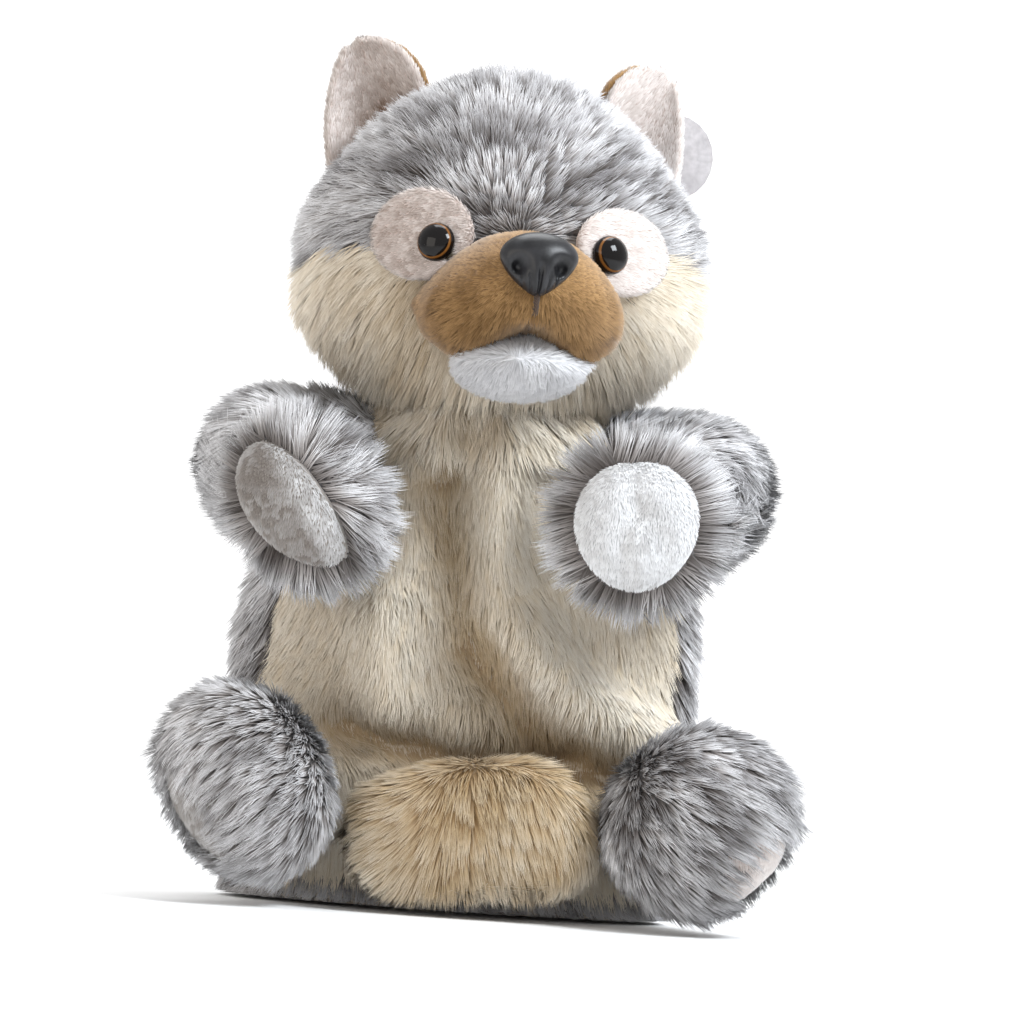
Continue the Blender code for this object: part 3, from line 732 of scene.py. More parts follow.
def build_head(skull, muzzle, chin):
    face = [skull, muzzle, chin]
    patches = [
        node_copy(f"eye_patch_{word}", f"patch_{word}_skin", 2, PINK_SKIN) for _, word in SIDES
    ]
    for (side, word), patch in zip(SIDES, patches):
        tall, drop = (1.18, 0.0014) if side < 0 else (1.10, 0.0026)
        reshape(patch, (1.26, 1.00, tall), (PATCH_SHIFT[side], -0.0008, -EYE_DROP - drop))
    off_face = away_from([muzzle, *patches], 0.0008)

    def crown(places, normals):
        front = in_head(places)[:, 1] < BACK_HALF
        return front & (above_grey_line(places) > 0) & off_face(places)

    def back(places, normals):
        return (above_grey_line(places) > 0) & (in_head(places)[:, 1] >= BACK_HALF)

    def cheek(side):
        def kept(places, normals):
            right_side = in_head(places)[:, 0] * side >= 0
            return right_side & (above_grey_line(places) <= 0) & off_face(places)

        return kept

    furs = [
        grow(
            "crown_fur", skull, LONG, FROST, 101, head_flow, crown, crown_tone, crown_length, spread=STREAKS
        ),
        grow("back_of_head_fur", skull, SPARSE, FROST, 102, head_flow, back, crown_tone, spread=STREAKS),
    ]
    for seed, (side, word) in zip((103, 104), SIDES):
        name = f"cheek_fur_{word}"
        furs.append(grow(name, skull, RUFF, CREAM, seed, head_flow, cheek(side), cheek_tone, cheek_length))
    furs += [grow_muzzle(muzzle), grow_chin(chin)]
    build_mouth_seam(muzzle)
    for (_, word), patch in zip(SIDES, patches):
        furs.append(
            grow(f"eye_patch_pile_{word}", patch, SHORT, PINK, 107, patch_flow, outer_side, patch_tone)
        )
        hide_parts(f"eye_patch_{word}")
    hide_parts("crown_panel", "cheek_left", "cheek_right", "back_of_head")
    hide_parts("muzzle")
    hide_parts("chin")
    for piece in face + patches + furs:
        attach(piece, "head")


EYE_DROP = 0.0030  # the plush settles under the eyes
PATCH_SHIFT = {-1: 0.0006, 1: -0.0006}


def outer_side(places, normals):
    """Only the side of a head piece that looks away from the head."""
    return np.sum((places - np.array(HEAD_MIDDLE)) * normals, axis=1) > 0


def patch_flow(places, normals):
    q = in_head(places)
    return from_head(np.stack([np.sign(q[:, 0]) * 0.8, np.zeros(len(q)), np.full(len(q), -0.3)], axis=1))


def patch_tone(places, normals):
    """Painted light and shade: darker on the side away from the light, and lighter on the lit right patch."""
    q = in_head(places)
    shaded = smooth_step(-q[:, 0], 0.022, 0.044)
    right = (q[:, 0] > 0) * 1.0
    return 0.60 + 0.30 * right - 0.12 * shaded + ripple(places, 0.015, 31) * 0.05


def muzzle_flow(places, normals):
    q = in_head(places) - np.array(MUZZLE_MIDDLE)
    return from_head(np.stack([q[:, 0] * 25, 0.8 - q[:, 2] * 10, -0.35 + q[:, 2] * 8], axis=1))


def muzzle_tone(places, normals):
    q = in_head(places) - np.array(MUZZLE_MIDDLE)
    low = smooth_step(-q[:, 2], -0.004, 0.014)
    # Painted light: lighter towards the lit right side.
    light = 0.16 * smooth_step(q[:, 0], -0.01, 0.03)
    seam = 0.35 * np.exp(-((q[:, 0] / 0.0012) ** 2)) * (q[:, 2] < 0)
    return 0.66 + light - 0.30 * low * (q[:, 1] < 0.0) - seam + ripple(places, 0.006, 33) * 0.16


def grow_muzzle(muzzle):
    def kept(places, normals):
        return np.linalg.norm(places - np.array(NOSE), axis=1) > 0.006

    def length(places, normals):
        q = in_head(places) - np.array(MUZZLE_MIDDLE)
        return 0.42 + 0.58 * smooth_step(-q[:, 2], -0.002, 0.010) * smooth_step(-q[:, 1], -0.010, 0.016)

    return grow("muzzle_pile", muzzle, PLUSH, TAN, 105, muzzle_flow, kept, muzzle_tone, length)


def shape_muzzle(muzzle):
    """Makes the muzzle pear-shaped, with the upper lip parted under the nose."""

    def moved(places, normals):
        q = in_head(places) - np.array(MUZZLE_MIDDLE)
        x, y, z = q.T
        low = smooth_step(-z, -0.010, 0.008)
        lip = smooth_step(-z, 0.006, 0.016) * smooth_step(-y, -0.004, 0.012)
        wide = x * (0.07 + 0.05 * low)
        tall = z * 0.24 - 0.0010
        part = 0.0085 * np.exp(-((x / 0.0095) ** 2)) * lip
        jowl = -0.0030 * np.exp(-(((np.abs(x) - 0.020) / 0.010) ** 2)) * lip
        rear = 0.0115 * smooth_step(y, y.max() - 0.013, y.max() - 0.002)
        wide = wide + np.sign(x) * rear * 0.10
        return from_head(np.stack([wide, y * 0.03 + rear, tall + part + jowl], axis=1))

    move_points(muzzle, moved)


def build_mouth_seam(muzzle):
    """The stitched line from the nose down to the mouth, laid in the muzzle's pile."""
    skin = skin_tree(muzzle)
    ahead, down = (Vector(from_head(np.array(way))) for way in ((0.0, -1.0, 0.0), (0.0, 0.0, -1.0)))
    line = []
    for drop in np.linspace(0.006, 0.026, 14):
        hit = skin.ray_cast(NOSE + down * float(drop) + ahead * 0.03, -ahead, 0.05)[0]
        if hit is not None:
            line.append(hit + ahead * 0.0007)
    seam = add_mesh("mouth_seam", tube_mesh("mouth_seam", line, 0.0010, 2), thread_material())
    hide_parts("mouth_stitch")
    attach(seam, "head")


def thread_material():
    material, tree, shader = new_material("brown_thread", 0.85, 0.2)
    twist = add_wave(tree, object_place(tree), 900.0, 1.0, "DIAGONAL")
    colour_by(tree, shader, twist, (0.0, (0.014, 0.007, 0.004)), (1.0, (0.06, 0.03, 0.014)))
    add_relief(tree, shader, twist, 0.5, 0.0002)
    return material


def grow_chin(chin):
    def tone(places, normals):
        q = in_head(places)
        # Painted light: lighter towards the lit right side.
        return 0.62 + 0.20 * smooth_step(q[:, 0], -0.012, 0.006) + ripple(places, 0.010, 35) * 0.12

    return grow("chin_pile", chin, PLUSH, WHITE, 106, muzzle_flow, None, tone)


# ---- nose and eyes ------------------------------------------------------------------------------
def satin_black():
    material, tree, shader = new_material("black_nose", 0.34)
    shader.inputs["Specular IOR Level"].default_value = 0.35
    place = object_place(tree)
    grain, wear = add_noise(tree, place, 1400.0, 3.0), add_noise(tree, place, 160.0, 4.0)
    colour_by(tree, shader, wear, (0.35, (0.006, 0.006, 0.007)), (0.75, (0.022, 0.022, 0.025)))
    rough = add_node(tree, "ShaderNodeMapRange", {"Value": wear, "To Min": 0.26, "To Max": 0.46})
    tree.links.new(rough.outputs["Result"], shader.inputs["Roughness"])
    add_relief(tree, shader, grain, 0.12, 0.0002)
    return material


def build_nose():
    """A moulded nose: a rounded triangle with two nostrils and grooves that fan out below them."""
    low, high = (np.array(c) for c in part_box("nose"))
    half = np.array((0.0146, 0.0080, 0.0102))
    bm = bmesh.new()
    bmesh.ops.create_uvsphere(bm, u_segments=96, v_segments=64, radius=1.0)
    mesh = bpy.data.meshes.new("nose_cap")
    bm.to_mesh(mesh)
    bm.free()
    q = mesh_array(mesh.vertices, "co", 3)
    x, y, z = q.T
    wide = 0.80 + 0.30 * z - 0.10 * z * z
    square = 1.0 - 0.10 * (x * x * (z > 0))
    q = np.stack([x * wide * 1.02, y, z * square], axis=1)
    front = y < 0
    nostril = sum(near(q, (side * 0.46, -0.80, -0.16), (0.17, 0.6, 0.26)) for side, _ in SIDES)
    groove = np.exp(-((x / 0.06) ** 2)) * smooth_step(-z, -0.15, 0.45)
    fan = sum(
        np.exp(-(((x - place * (1.2 - 0.6 * z)) / 0.045) ** 2)) * smooth_step(-z, 0.10, 0.5)
        for place in (-0.40, -0.22, 0.22, 0.40)
    )
    q[:, 1] += front * (0.62 * nostril + 0.26 * groove + 0.16 * fan)
    q[:, 1] = np.minimum(q[:, 1], 0.20)
    places = (q * half) + np.array((0.0, 0.0016, 0.0))
    middle = Vector((low + high) / 2)
    places = from_head(places) + np.array(middle)
    mesh.vertices.foreach_set("co", places.ravel())
    mesh.update()
    mesh.shade_smooth()
    nose = add_mesh("nose_cap", mesh, satin_black())
    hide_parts("nose")
    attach(nose, "head")


def eye_material():
    """A clear dome over a black pupil with a thin amber ring."""
    material, tree, shader = new_material("eye_glass", 0.08)
    shader.inputs["Specular IOR Level"].default_value = 0.25
    place = add_node(tree, "ShaderNodeUVMap", uv_map="iris").outputs["UV"]
    radius = add_node(tree, "ShaderNodeSeparateXYZ", {"Vector": place}).outputs["X"]
    black, amber, gold = (0.004, 0.003, 0.003), (0.09, 0.030, 0.005), (0.28, 0.12, 0.03)
    iris = mix_colours(tree, add_noise(tree, place, 24.0, 5.0), amber, gold)
    shown = ((0.0, 0.0), (0.84, 0.0), (0.87, 1.0), (0.91, 0.9), (0.94, 0.0))  # radius, share of the iris
    ring = add_ramp(tree, radius, [(at, (share, share, share)) for at, share in shown])
    tree.links.new(mix_colours(tree, ring, black, iris), shader.inputs["Base Color"])
    return material


EYE_RADIUS = 0.0063
EYE_RISE = 0.74  # the dome's height as a share of its radius


def build_eyes():
    material = eye_material()
    rings, around = 14, 40
    leans = [(math.pi / 2) * i / rings for i in range(rings + 1)]
    # share of the radius, height and place in the iris, from the dome's top to the skirt in the patch
    profile = [(math.sin(lean), EYE_RISE * EYE_RADIUS * math.cos(lean), math.sin(lean)) for lean in leans]
    profile.append((0.93, -0.0016, 1.0))
    for _, word in SIDES:
        outward = eye_outward(word)
        across = Vector((0.0, 0.0, 1.0)).cross(outward).normalized()
        axes = np.array(Matrix((across, outward.cross(across), outward)).transposed())
        base = np.array(eye_base(word, outward))
        verts, uvs = [], []
        for share, height, iris in profile:
            flat = share * EYE_RADIUS
            for j in range(around):
                turn = 2 * math.pi * j / around
                verts.append(base + axes @ np.array((flat * math.cos(turn), flat * math.sin(turn), height)))
                uvs.append((iris, j / around))
        skirt = len(verts) - around
        faces = ring_faces(len(profile), around)
        faces.append(tuple(skirt + j for j in reversed(range(around))))
        mesh = mesh_from(f"eye_dome_{word}", verts, faces)
        layer = mesh.uv_layers.new(name="iris")
        for loop in mesh.loops:
            layer.data[loop.index].uv = uvs[loop.vertex_index]
        bm = bmesh.new()
        bm.from_mesh(mesh)
        bmesh.ops.remove_doubles(bm, verts=bm.verts, dist=1e-6)
        bm.to_mesh(mesh)
        bm.free()
        mesh.shade_smooth()
        eye = add_mesh(f"eye_dome_{word}", mesh, material)
        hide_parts(f"eye_{word}")
        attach(eye, "head")


def eye_outward(word):
    """The way an eye looks, which is its post's axis."""
    washer = box_middle(f"eye_washer_{word}")
    return (EYES[word] - washer).normalized()


def eye_base(word, outward):
    """The middle of the eye's rim, seated on its patch."""
    points = node_points(f"eye_{word}")
    front = float(np.max(points @ np.array(outward)))
    middle = np.array(EYES[word])
    middle = middle + np.array(outward) * (front - middle @ np.array(outward))
    settled = from_head(np.array((0.0, -0.0004, -EYE_DROP)))
    return Vector(middle + settled) - outward * EYE_RISE * EYE_RADIUS


# ---- ears ---------------------------------------------------------------------------------------
def build_ears():
    for side, word in SIDES:
        inner = node_copy(f"ear_inner_{word}", f"ear_front_{word}", 2, PINK_SKIN)
        back = node_copy(f"ear_back_{word}", f"ear_rear_{word}", 2, TAN_SKIN)
        middle = np.array(box_middle(f"ear_inner_{word}"))
        for leaf, closing in ((inner, 0.0006), (back, -0.0010)):
            relax(leaf, 5)
            reshape(leaf, (1.14, 1.00, 1.10), (EAR_SHIFT[side], closing, 0.0))
            cup_ear(leaf, middle)

        def inner_tone(places, normals):
            q = places - middle
            # Painted shade: darker in the ear's hollow; the left ear, on the shaded side, is darker all over
            # with a deeper hollow.
            hollow = near(q, (-0.003 * side, 0.0, -0.007), (0.010, 0.02, 0.015))
            rim, depth = (0.72, 0.70) if side < 0 else (0.90, 0.25)
            return rim - depth * hollow + ripple(places, 0.010, 41) * 0.06

        def back_tone(places, normals):
            return 0.72 + ripple(places, 0.008, 43) * 0.15

        def up(places, normals):
            return np.tile((side * 0.25, 0.0, 1.0), (len(places), 1))

        piles = [
            grow(f"ear_inner_pile_{word}", inner, SHORT, PINK, 111, up, None, inner_tone),
            grow(f"ear_back_pile_{word}", back, SHORT, TAN, 112, up, None, back_tone),
        ]
        for piece in (inner, back, *piles):
            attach(piece, "head")
        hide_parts(f"ear_inner_{word}")
        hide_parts(f"ear_back_{word}")


EAR_SHIFT = {-1: -0.0010, 1: 0.0030}


def cup_ear(leaf, middle):
    """Hollows an ear, deepest in its lower middle."""

    def moved(places, normals):
        hollow = near(places - middle, (0.0, 0.0, -0.006), (0.012, 0.030, 0.017))
        return from_head(np.stack([hollow * 0, hollow * 0.0050, hollow * 0], axis=1))

    move_points(leaf, moved)


def node_copy(node, name, levels, material=None):
    """A CAD node's own mesh, welded and smoothed, as a piece that can carry pile."""
    bm = bmesh.new()
    bm.from_mesh(frame["nodes"][node].data)
    bmesh.ops.remove_doubles(bm, verts=bm.verts, dist=1e-6)
    bmesh.ops.recalc_face_normals(bm, faces=bm.faces)
    mesh = bpy.data.meshes.new(name)
    bm.to_mesh(mesh)
    bm.free()
    mesh.materials.clear()
    piece = add_mesh(name, mesh)
    subdivide(piece, levels)
    if material:
        piece.data.materials.append(material)
    return piece


def away_from(pieces, reach):
    """A test that is true for places further than reach from every point of the pieces."""
    places = np.concatenate([mesh_array(piece.data.vertices, "co", 3) for piece in pieces])
    tree = kdtree.KDTree(len(places))
    for i, place in enumerate(places):
        tree.insert(place, i)
    tree.balance()
    return lambda roots: np.array([tree.find(root)[2] > reach for root in roots], bool)


# ---- glove --------------------------------------------------------------------------------------
GLOVE_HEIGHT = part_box("back_panel")[1][2]
GLOVE_HALF = ((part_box("back_panel")[1][0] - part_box("back_panel")[0][0]) / 2, 0.037)
GLOVE_CENTRE = Vector((NECK.x, NECK.y, 0.0))
GLOVE_LEAN = -0.005
GLOVE_SHARES = (  # height, half width and half depth as shares of the largest
    (0.00, 0.955, 0.97),
    (0.12, 0.960, 0.97),
    (0.26, 1.000, 1.00),
    (0.58, 1.000, 1.00),
    (0.70, 0.945, 0.97),
    (0.79, 0.850, 0.92),
    (0.90, 0.800, 0.90),
    (1.00, 0.700, 0.87),
)
BELLY_EDGES = (math.radians(-60), math.radians(66))
# Folds of the belly, as lines of x and z on its front
RIDGES = (
    ((0.0, 0.146), (0.001, 0.104), (0.030, 0.074), (0.056, 0.058)),
    ((-0.034, 0.098), (-0.030, 0.070)),
)
HOLLOWS = (
    ((-0.018, 0.140), (-0.010, 0.112), (-0.006, 0.092)),
    ((0.000, 0.082), (0.024, 0.058), (0.046, 0.050)),
    ((-0.045, 0.060), (-0.010, 0.052), (0.030, 0.050)),
)


def glove_surface(turn, height):
    """Points on the glove's outside, its sections run into each other over a tenth of its height."""
    heights, widths, depths = np.array(GLOVE_SHARES).T
    share = np.clip(height / GLOVE_HEIGHT, 0.0, 1.0)
    weights = np.hanning(11)[1:-1]
    steps = list(zip(weights / weights.sum(), np.linspace(-0.06, 0.06, 9)))
    half_width, half_depth = (
        sum(w * np.interp(share + d, heights, sizes) for w, d in steps) * half
        for sizes, half in zip((widths, depths), GLOVE_HALF)
    )
    lean = GLOVE_LEAN * (1.0 - share)
    x = GLOVE_CENTRE.x + lean + half_width * np.sin(turn)
    y = GLOVE_CENTRE.y - half_depth * np.cos(turn)
    return np.stack([x, y, height], axis=1)


def belly_relief(places):
    """How far the belly's folds stand out (+) or sink in (-), in metres."""
    flat = places[:, [0, 2]]
    rise = sum(along_line(flat, line, 0.010) for line in RIDGES) * 0.0105
    sink = sum(along_line(flat, line, 0.009) for line in HOLLOWS) * 0.0095
    return rise - sink + ripple(places, 0.035, 51) * 0.0012


def glove_panel(name, turns, steps, material, relief):
    """A panel between two turns from the front, in steps of so many columns and rows of points."""
    columns, rows = steps
    u = np.linspace(*turns, columns)
    v = np.linspace(0.0008, GLOVE_HEIGHT + 0.002, rows)
    turn, height = (a.ravel() for a in np.meshgrid(u, v, indexing="ij"))
    places = glove_surface(turn, height)
    outward = np.stack([np.sin(turn) / GLOVE_HALF[0], -np.cos(turn) / GLOVE_HALF[1], turn * 0], axis=1)
    places = places + unit(outward) * (relief(places) - SKIN_INSET)[:, None]
    faces = [
        (i * rows + j, (i + 1) * rows + j, (i + 1) * rows + j + 1, i * rows + j + 1)
        for i in range(columns - 1)
        for j in range(rows - 1)
    ]
    panel = add_mesh(name, mesh_from(name, places, faces), material)
    panel.data.shade_smooth()
    return panel


SKIN_INSET = 0.0035  # from the CAD's surface, where the pile ends, in to the cloth
CLOTH_THICKNESS = 0.0012
FRINGE_TOP = 0.011  # the belly's hem is grey up to this height


def open_armholes(panel):
    """Cuts the armholes out of a panel."""
    bm = bmesh.new()
    bm.from_mesh(panel.data)
    holes = [joint_place(f"arm_{word}_spread") + Vector((0, 0.004, -0.006)) for _, word in SIDES]

    def in_hole(face):
        offsets = [face.calc_center_median() - hole for hole in holes]
        return any(offset.yz.length < 0.012 and abs(offset.x) < 0.03 for offset in offsets)

    bmesh.ops.delete(bm, geom=[face for face in bm.faces if in_hole(face)], context="FACES")
    bm.to_mesh(panel.data)
    bm.free()


def belly_tone(places, normals):
    flat = places[:, [0, 2]]
    rise = sum(along_line(flat, line, 0.010) for line in RIDGES)
    sink = sum(along_line(flat, line, 0.010) for line in HOLLOWS)
    right = smooth_step(flat[:, 0], 0.0, 0.06)
    # Painted highlight on the ridges, painted shade in the hollows, and painted light: lighter towards the
    # lit right side.
    return 0.64 + 0.20 * rise - 0.62 * sink + 0.14 * right + ripple(places, 0.016, 53) * 0.10


def down_flow(places, normals):
    return np.array((0.0, 0.0, -1.0)) + drift(places, 0.045, 55) * 0.35


def back_tone(places, normals):
    return 0.46 + ripple(places, 0.010, 57) * 0.28


def build_glove():
    left, right = BELLY_EDGES
    belly = glove_panel("belly_cloth", BELLY_EDGES, (90, 84), CREAM_SKIN, belly_relief)
    behind = (right, left + 2 * math.pi)
    back = glove_panel("back_cloth", behind, (120, 70), FROST_SKIN, lambda p: ripple(p, 0.03, 52) * 0.0012)
    furs = []
    for panel in (belly, back):
        open_armholes(panel)
    for number, (side, word) in enumerate(SIDES):

        def whole(places, normals):
            return (places[:, 0] - NECK.x) * side > 0

        def half(places, normals):
            return whole(places, normals) & (places[:, 2] > FRINGE_TOP)

        for name, panel, coat, hair, seed, kept, tone, spread in (
            ("belly", belly, SLEEK, CREAM, 121, half, belly_tone, 0.18),
            ("back", back, SPARSE, FROST, 123, whole, back_tone, STREAKS),
        ):
            name = f"{name}_fur_{word}"
            furs.append(grow(name, panel, coat, hair, seed + number, down_flow, kept, tone, spread=spread))

    def fringe(places, normals):
        return places[:, 2] <= FRINGE_TOP

    furs.append(grow("hem_fringe", belly, LONG, FROST, 125, down_flow, fringe, back_tone))
    for panel in (belly, back):
        thicken(panel, CLOTH_THICKNESS)
        panel.data.shade_smooth()
    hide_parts("belly_panel")
    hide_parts("back_panel")
    for piece in (belly, back, *furs):
        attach(piece, "glove")


def shape_roll(roll):
    """Squares the roll off, so that it is a folded edge and not a cushion."""
    middle = np.array(box_middle("front_hem_roll"))
    half = np.array((0.040, 0.0125, 0.0225))

    def moved(places, normals):
        q = (places - middle) / half
        squared = np.sign(q) * np.abs(q) ** 0.72 * half * np.array((1.08, 1.0, 1.04))
        squared[:, 2] += 0.0025 * np.sin(q[:, 0] * 4.2 + 0.6) + 0.0010
        return middle + squared - places

    move_points(roll, moved)


def build_roll(roll):
    middle = np.array(box_middle("front_hem_roll"))

    def flow(places, normals):
        left = smooth_step(middle[0] - places[:, 0], 0.0, 0.03)
        combed = np.stack([-0.9 * left, np.full(len(left), -0.1), np.full(len(left), -1.0)], axis=1)
        return combed + drift(places, 0.03, 61) * 0.5

    def tone(places, normals):
        q = places - middle
        low = smooth_step(-q[:, 2], 0.004, 0.020)
        lit_right_end = smooth_step(q[:, 0], 0.018, 0.034)
        # Painted light: lighter at the roll's lit right end.
        return 0.18 + 0.40 * low + 0.32 * lit_right_end + ripple(places, 0.012, 63) * 0.28

    fur = grow("hem_roll_fur", roll, SLEEK, GOLDEN, 131, flow, None, tone)
    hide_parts("front_hem_roll")
    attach(roll, "glove")
    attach(fur, "glove")


# ---- arms and neck ------------------------------------------------------------------------------
SLEEVE_RADIUS = 0.0200
GLOVE_REACH = 0.037  # how far from its middle the glove hides the sleeve
SLEEVE_SHARES = (1.0, 1.0, 1.0, 1.05, 1.0, 0.5)  # of the radius, from the shoulder to inside the paw


def sleeve_route(word, side):
    shoulder, wrist = joint_place(f"arm_{word}_spread"), joint_place(f"paw_{word}_wave")
    return [
        shoulder + Vector((side * -0.030, 0.006, -0.012)),
        shoulder + Vector((side * -0.012, 0.000, 0.001)),
        shoulder + Vector((side * 0.013, -0.011, 0.0025)),
        shoulder + Vector((side * 0.013, -0.025, -0.001)),
        wrist + Vector((side * 0.003, 0.002, 0.002)),
        box_middle(f"paw_fur_{word}") + Vector((0.0, 0.004, 0.0)),
    ]


def arm_tone(places, normals):
    return 0.52 + ripple(places, 0.009, 73) * 0.28 + 0.10 * smooth_step(places[:, 2], 0.13, 0.17)


def build_sleeve(word, side):
    route = sleeve_route(word, side)
    mesh = tube_mesh(f"sleeve_{word}", route, SLEEVE_RADIUS, 6, SLEEVE_SHARES)
    bm = bmesh.new()
    bm.from_mesh(mesh)
    bmesh.ops.recalc_face_normals(bm, faces=bm.faces)
    middle = sum(route, Vector()) / len(route)
    if sum((f.calc_center_median() - middle).dot(f.normal) for f in bm.faces) < 0:
        bmesh.ops.reverse_faces(bm, faces=bm.faces)
    bm.to_mesh(mesh)
    bm.free()
    sleeve = add_mesh(f"sleeve_{word}", mesh, FROST_SKIN)
    along = unit(np.array(route[-1] - route[0]))

    def flow(places, normals):
        return along + np.array((side * 0.5, 0.0, -0.25)) + drift(places, 0.03, 71) * 0.3

    def length(places, normals):
        """Short where the glove hides it."""
        out = (places[:, 0] - NECK.x) * side
        return 0.35 + 0.70 * smooth_step(out, GLOVE_REACH - 0.007, GLOVE_REACH + 0.002)

    def kept(places, normals):
        return (places[:, 0] - NECK.x) * side > GLOVE_REACH - 0.020

    fur = grow(f"sleeve_fur_{word}", sleeve, LONG, FROST, 141, flow, kept, arm_tone, length, spread=STREAKS)
    thicken(sleeve, CLOTH_THICKNESS)
    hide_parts(f"arm_sleeve_{word}")
    for piece in (sleeve, fur):
        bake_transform(piece)


COLLAR_THICKNESS = 0.0010
COLLAR_RINGS = (  # radius, and height over the neck's joint
    (0.0385, -0.0125),
    (0.0370, -0.0080),
    (0.0345, -0.0035),
    (0.0315, 0.0015),
    (0.0280, 0.0065),
)


def build_neck():
    """A gathered collar of plush between the glove and the head."""
    around = 72
    verts = []
    for radius, height in COLLAR_RINGS:
        for j in range(around):
            turn = 2 * math.pi * j / around
            reach = radius * (1.0 + 0.035 * math.sin(9 * turn) + 0.02 * math.sin(14 * turn + 1.0))
            verts.append(NECK + Vector((reach * math.sin(turn), -reach * math.cos(turn), height)))
    faces = [(a, d, c, b) for a, b, c, d in ring_faces(len(COLLAR_RINGS), around)]
    collar = add_mesh("neck_collar", mesh_from("neck_collar", verts, faces), CREAM_SKIN)
    subdivide(collar)

    def half(in_front):
        def kept(places, normals):
            outer = np.sum((places - np.array(NECK))[:, :2] * normals[:, :2], axis=1) > 0
            return outer & ((places[:, 1] < NECK.y - 0.004) == in_front)

        return kept

    def tone(places, normals):
        return 0.66 + ripple(places, 0.01, 163) * 0.2

    furs = [
        grow(f"neck_fur_{word}", collar, RUFF, coat, 161, down_flow, half(word == "front"), tone)
        for word, coat in (("front", CREAM), ("back", FROST))
    ]
    thicken(collar, COLLAR_THICKNESS)
    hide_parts("neck_sleeve")
    for piece in (collar, *furs):
        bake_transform(piece)


# ---- tag and what is inside ---------------------------------------------------------------------
def card_material():
    material, tree, shader = new_material("white_card", 0.55)
    place = object_place(tree)
    fibre, slow = add_noise(tree, place, 500.0, 6.0), add_noise(tree, place, 60.0, 3.0)
    shade = multiply(tree, fibre, slow)
    colour_by(tree, shader, shade, (0.10, (0.34, 0.32, 0.33)), (0.40, (0.50, 0.48, 0.49)))
    add_relief(tree, shader, fibre, 0.10, 0.0002)
    return material


def kraft_material():
    """The card's cut edge."""
    material, tree, shader = new_material("kraft_edge", 0.8)
    grain = add_noise(tree, object_place(tree), 900.0)
    colour_by(tree, shader, grain, (0.3, (0.30, 0.19, 0.10)), (0.7, (0.48, 0.33, 0.19)))
    return material


def build_tag():
    """A blank card with a punched hole and a kraft edge, hanging from its nylon loop."""
    card = node_copy("swing_tag", "tag_card", 0)
    for material in (card_material(), kraft_material()):
        card.data.materials.append(material)
    facing = Vector(from_head(np.array((0.0, 1.0, 0.0))))
    for face in card.data.polygons:
        face.use_smooth = False
        face.material_index = 0 if abs(face.normal.dot(facing)) > 0.7 else 1
    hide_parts("swing_tag")
    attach(card, "tag")


def fill_material():
    material, tree, shader = new_material("polyester_fill", 1.0, 0.2)
    lumps = add_noise(tree, object_place(tree), 120.0, 8.0)
    colour_by(tree, shader, lumps, (0.3, (0.62, 0.62, 0.63)), (0.6, (0.92, 0.92, 0.93)))
    add_relief(tree, shader, lumps, 0.8, 0.002)
    return material


def nylon_material():
    material, tree, shader = new_material("clear_nylon", 0.25)
    haze = add_noise(tree, object_place(tree), 400.0)
    colour_by(tree, shader, haze, (0.3, (0.70, 0.71, 0.72)), (0.7, (0.88, 0.89, 0.90)))
    return material


def inner_materials():
    """What can't be seen from outside keeps its CAD shape, in the stuff that it is made of."""
    finishes = {
        fill_material(): ("head_stuffing", "muzzle_stuffing", "leg_stuffing_left", "leg_stuffing_right"),
        nylon_material(): ("eye_washer_left", "eye_washer_right", "tag_fastener"),
        LINING: ("head_finger_tube", "neck_seam_ring"),
    }
    for material, nodes in finishes.items():
        for node in nodes:
            for slot in frame["nodes"][node].material_slots:
                slot.material = material


# ---- paws and feet ------------------------------------------------------------------------------
LIMB_INSET = 0.0035
TOES = {"left": (-0.80, -0.30, 0.52), "right": (0.92, -0.25, 0.30)}  # which way a foot's toe points


def limb_skins(kind, *nodes):
    return {
        word: hull_of(f"{kind}_skin_{word}", [f"{node}_{word}" for node in nodes], LIMB_INSET)
        for _, word in SIDES
    }


def shape_foot(foot, word):
    """Draws the foot out to its toe, and its root back into the glove."""
    middle = form_middle(foot)
    toe = unit(np.array(TOES[word]))
    hip = unit(np.array(joint_place(f"leg_{word}_swing")) - middle)

    def moved(places, normals):
        facing = unit(places - middle)
        out = toe * (0.0035 * smooth_step(facing @ toe, 0.35, 1.0))[:, None]
        return out + hip * (0.0090 * smooth_step(facing @ hip, 0.15, 0.95))[:, None]

    move_points(foot, moved)


def centroid(node):
    return node_points(node).mean(axis=0)


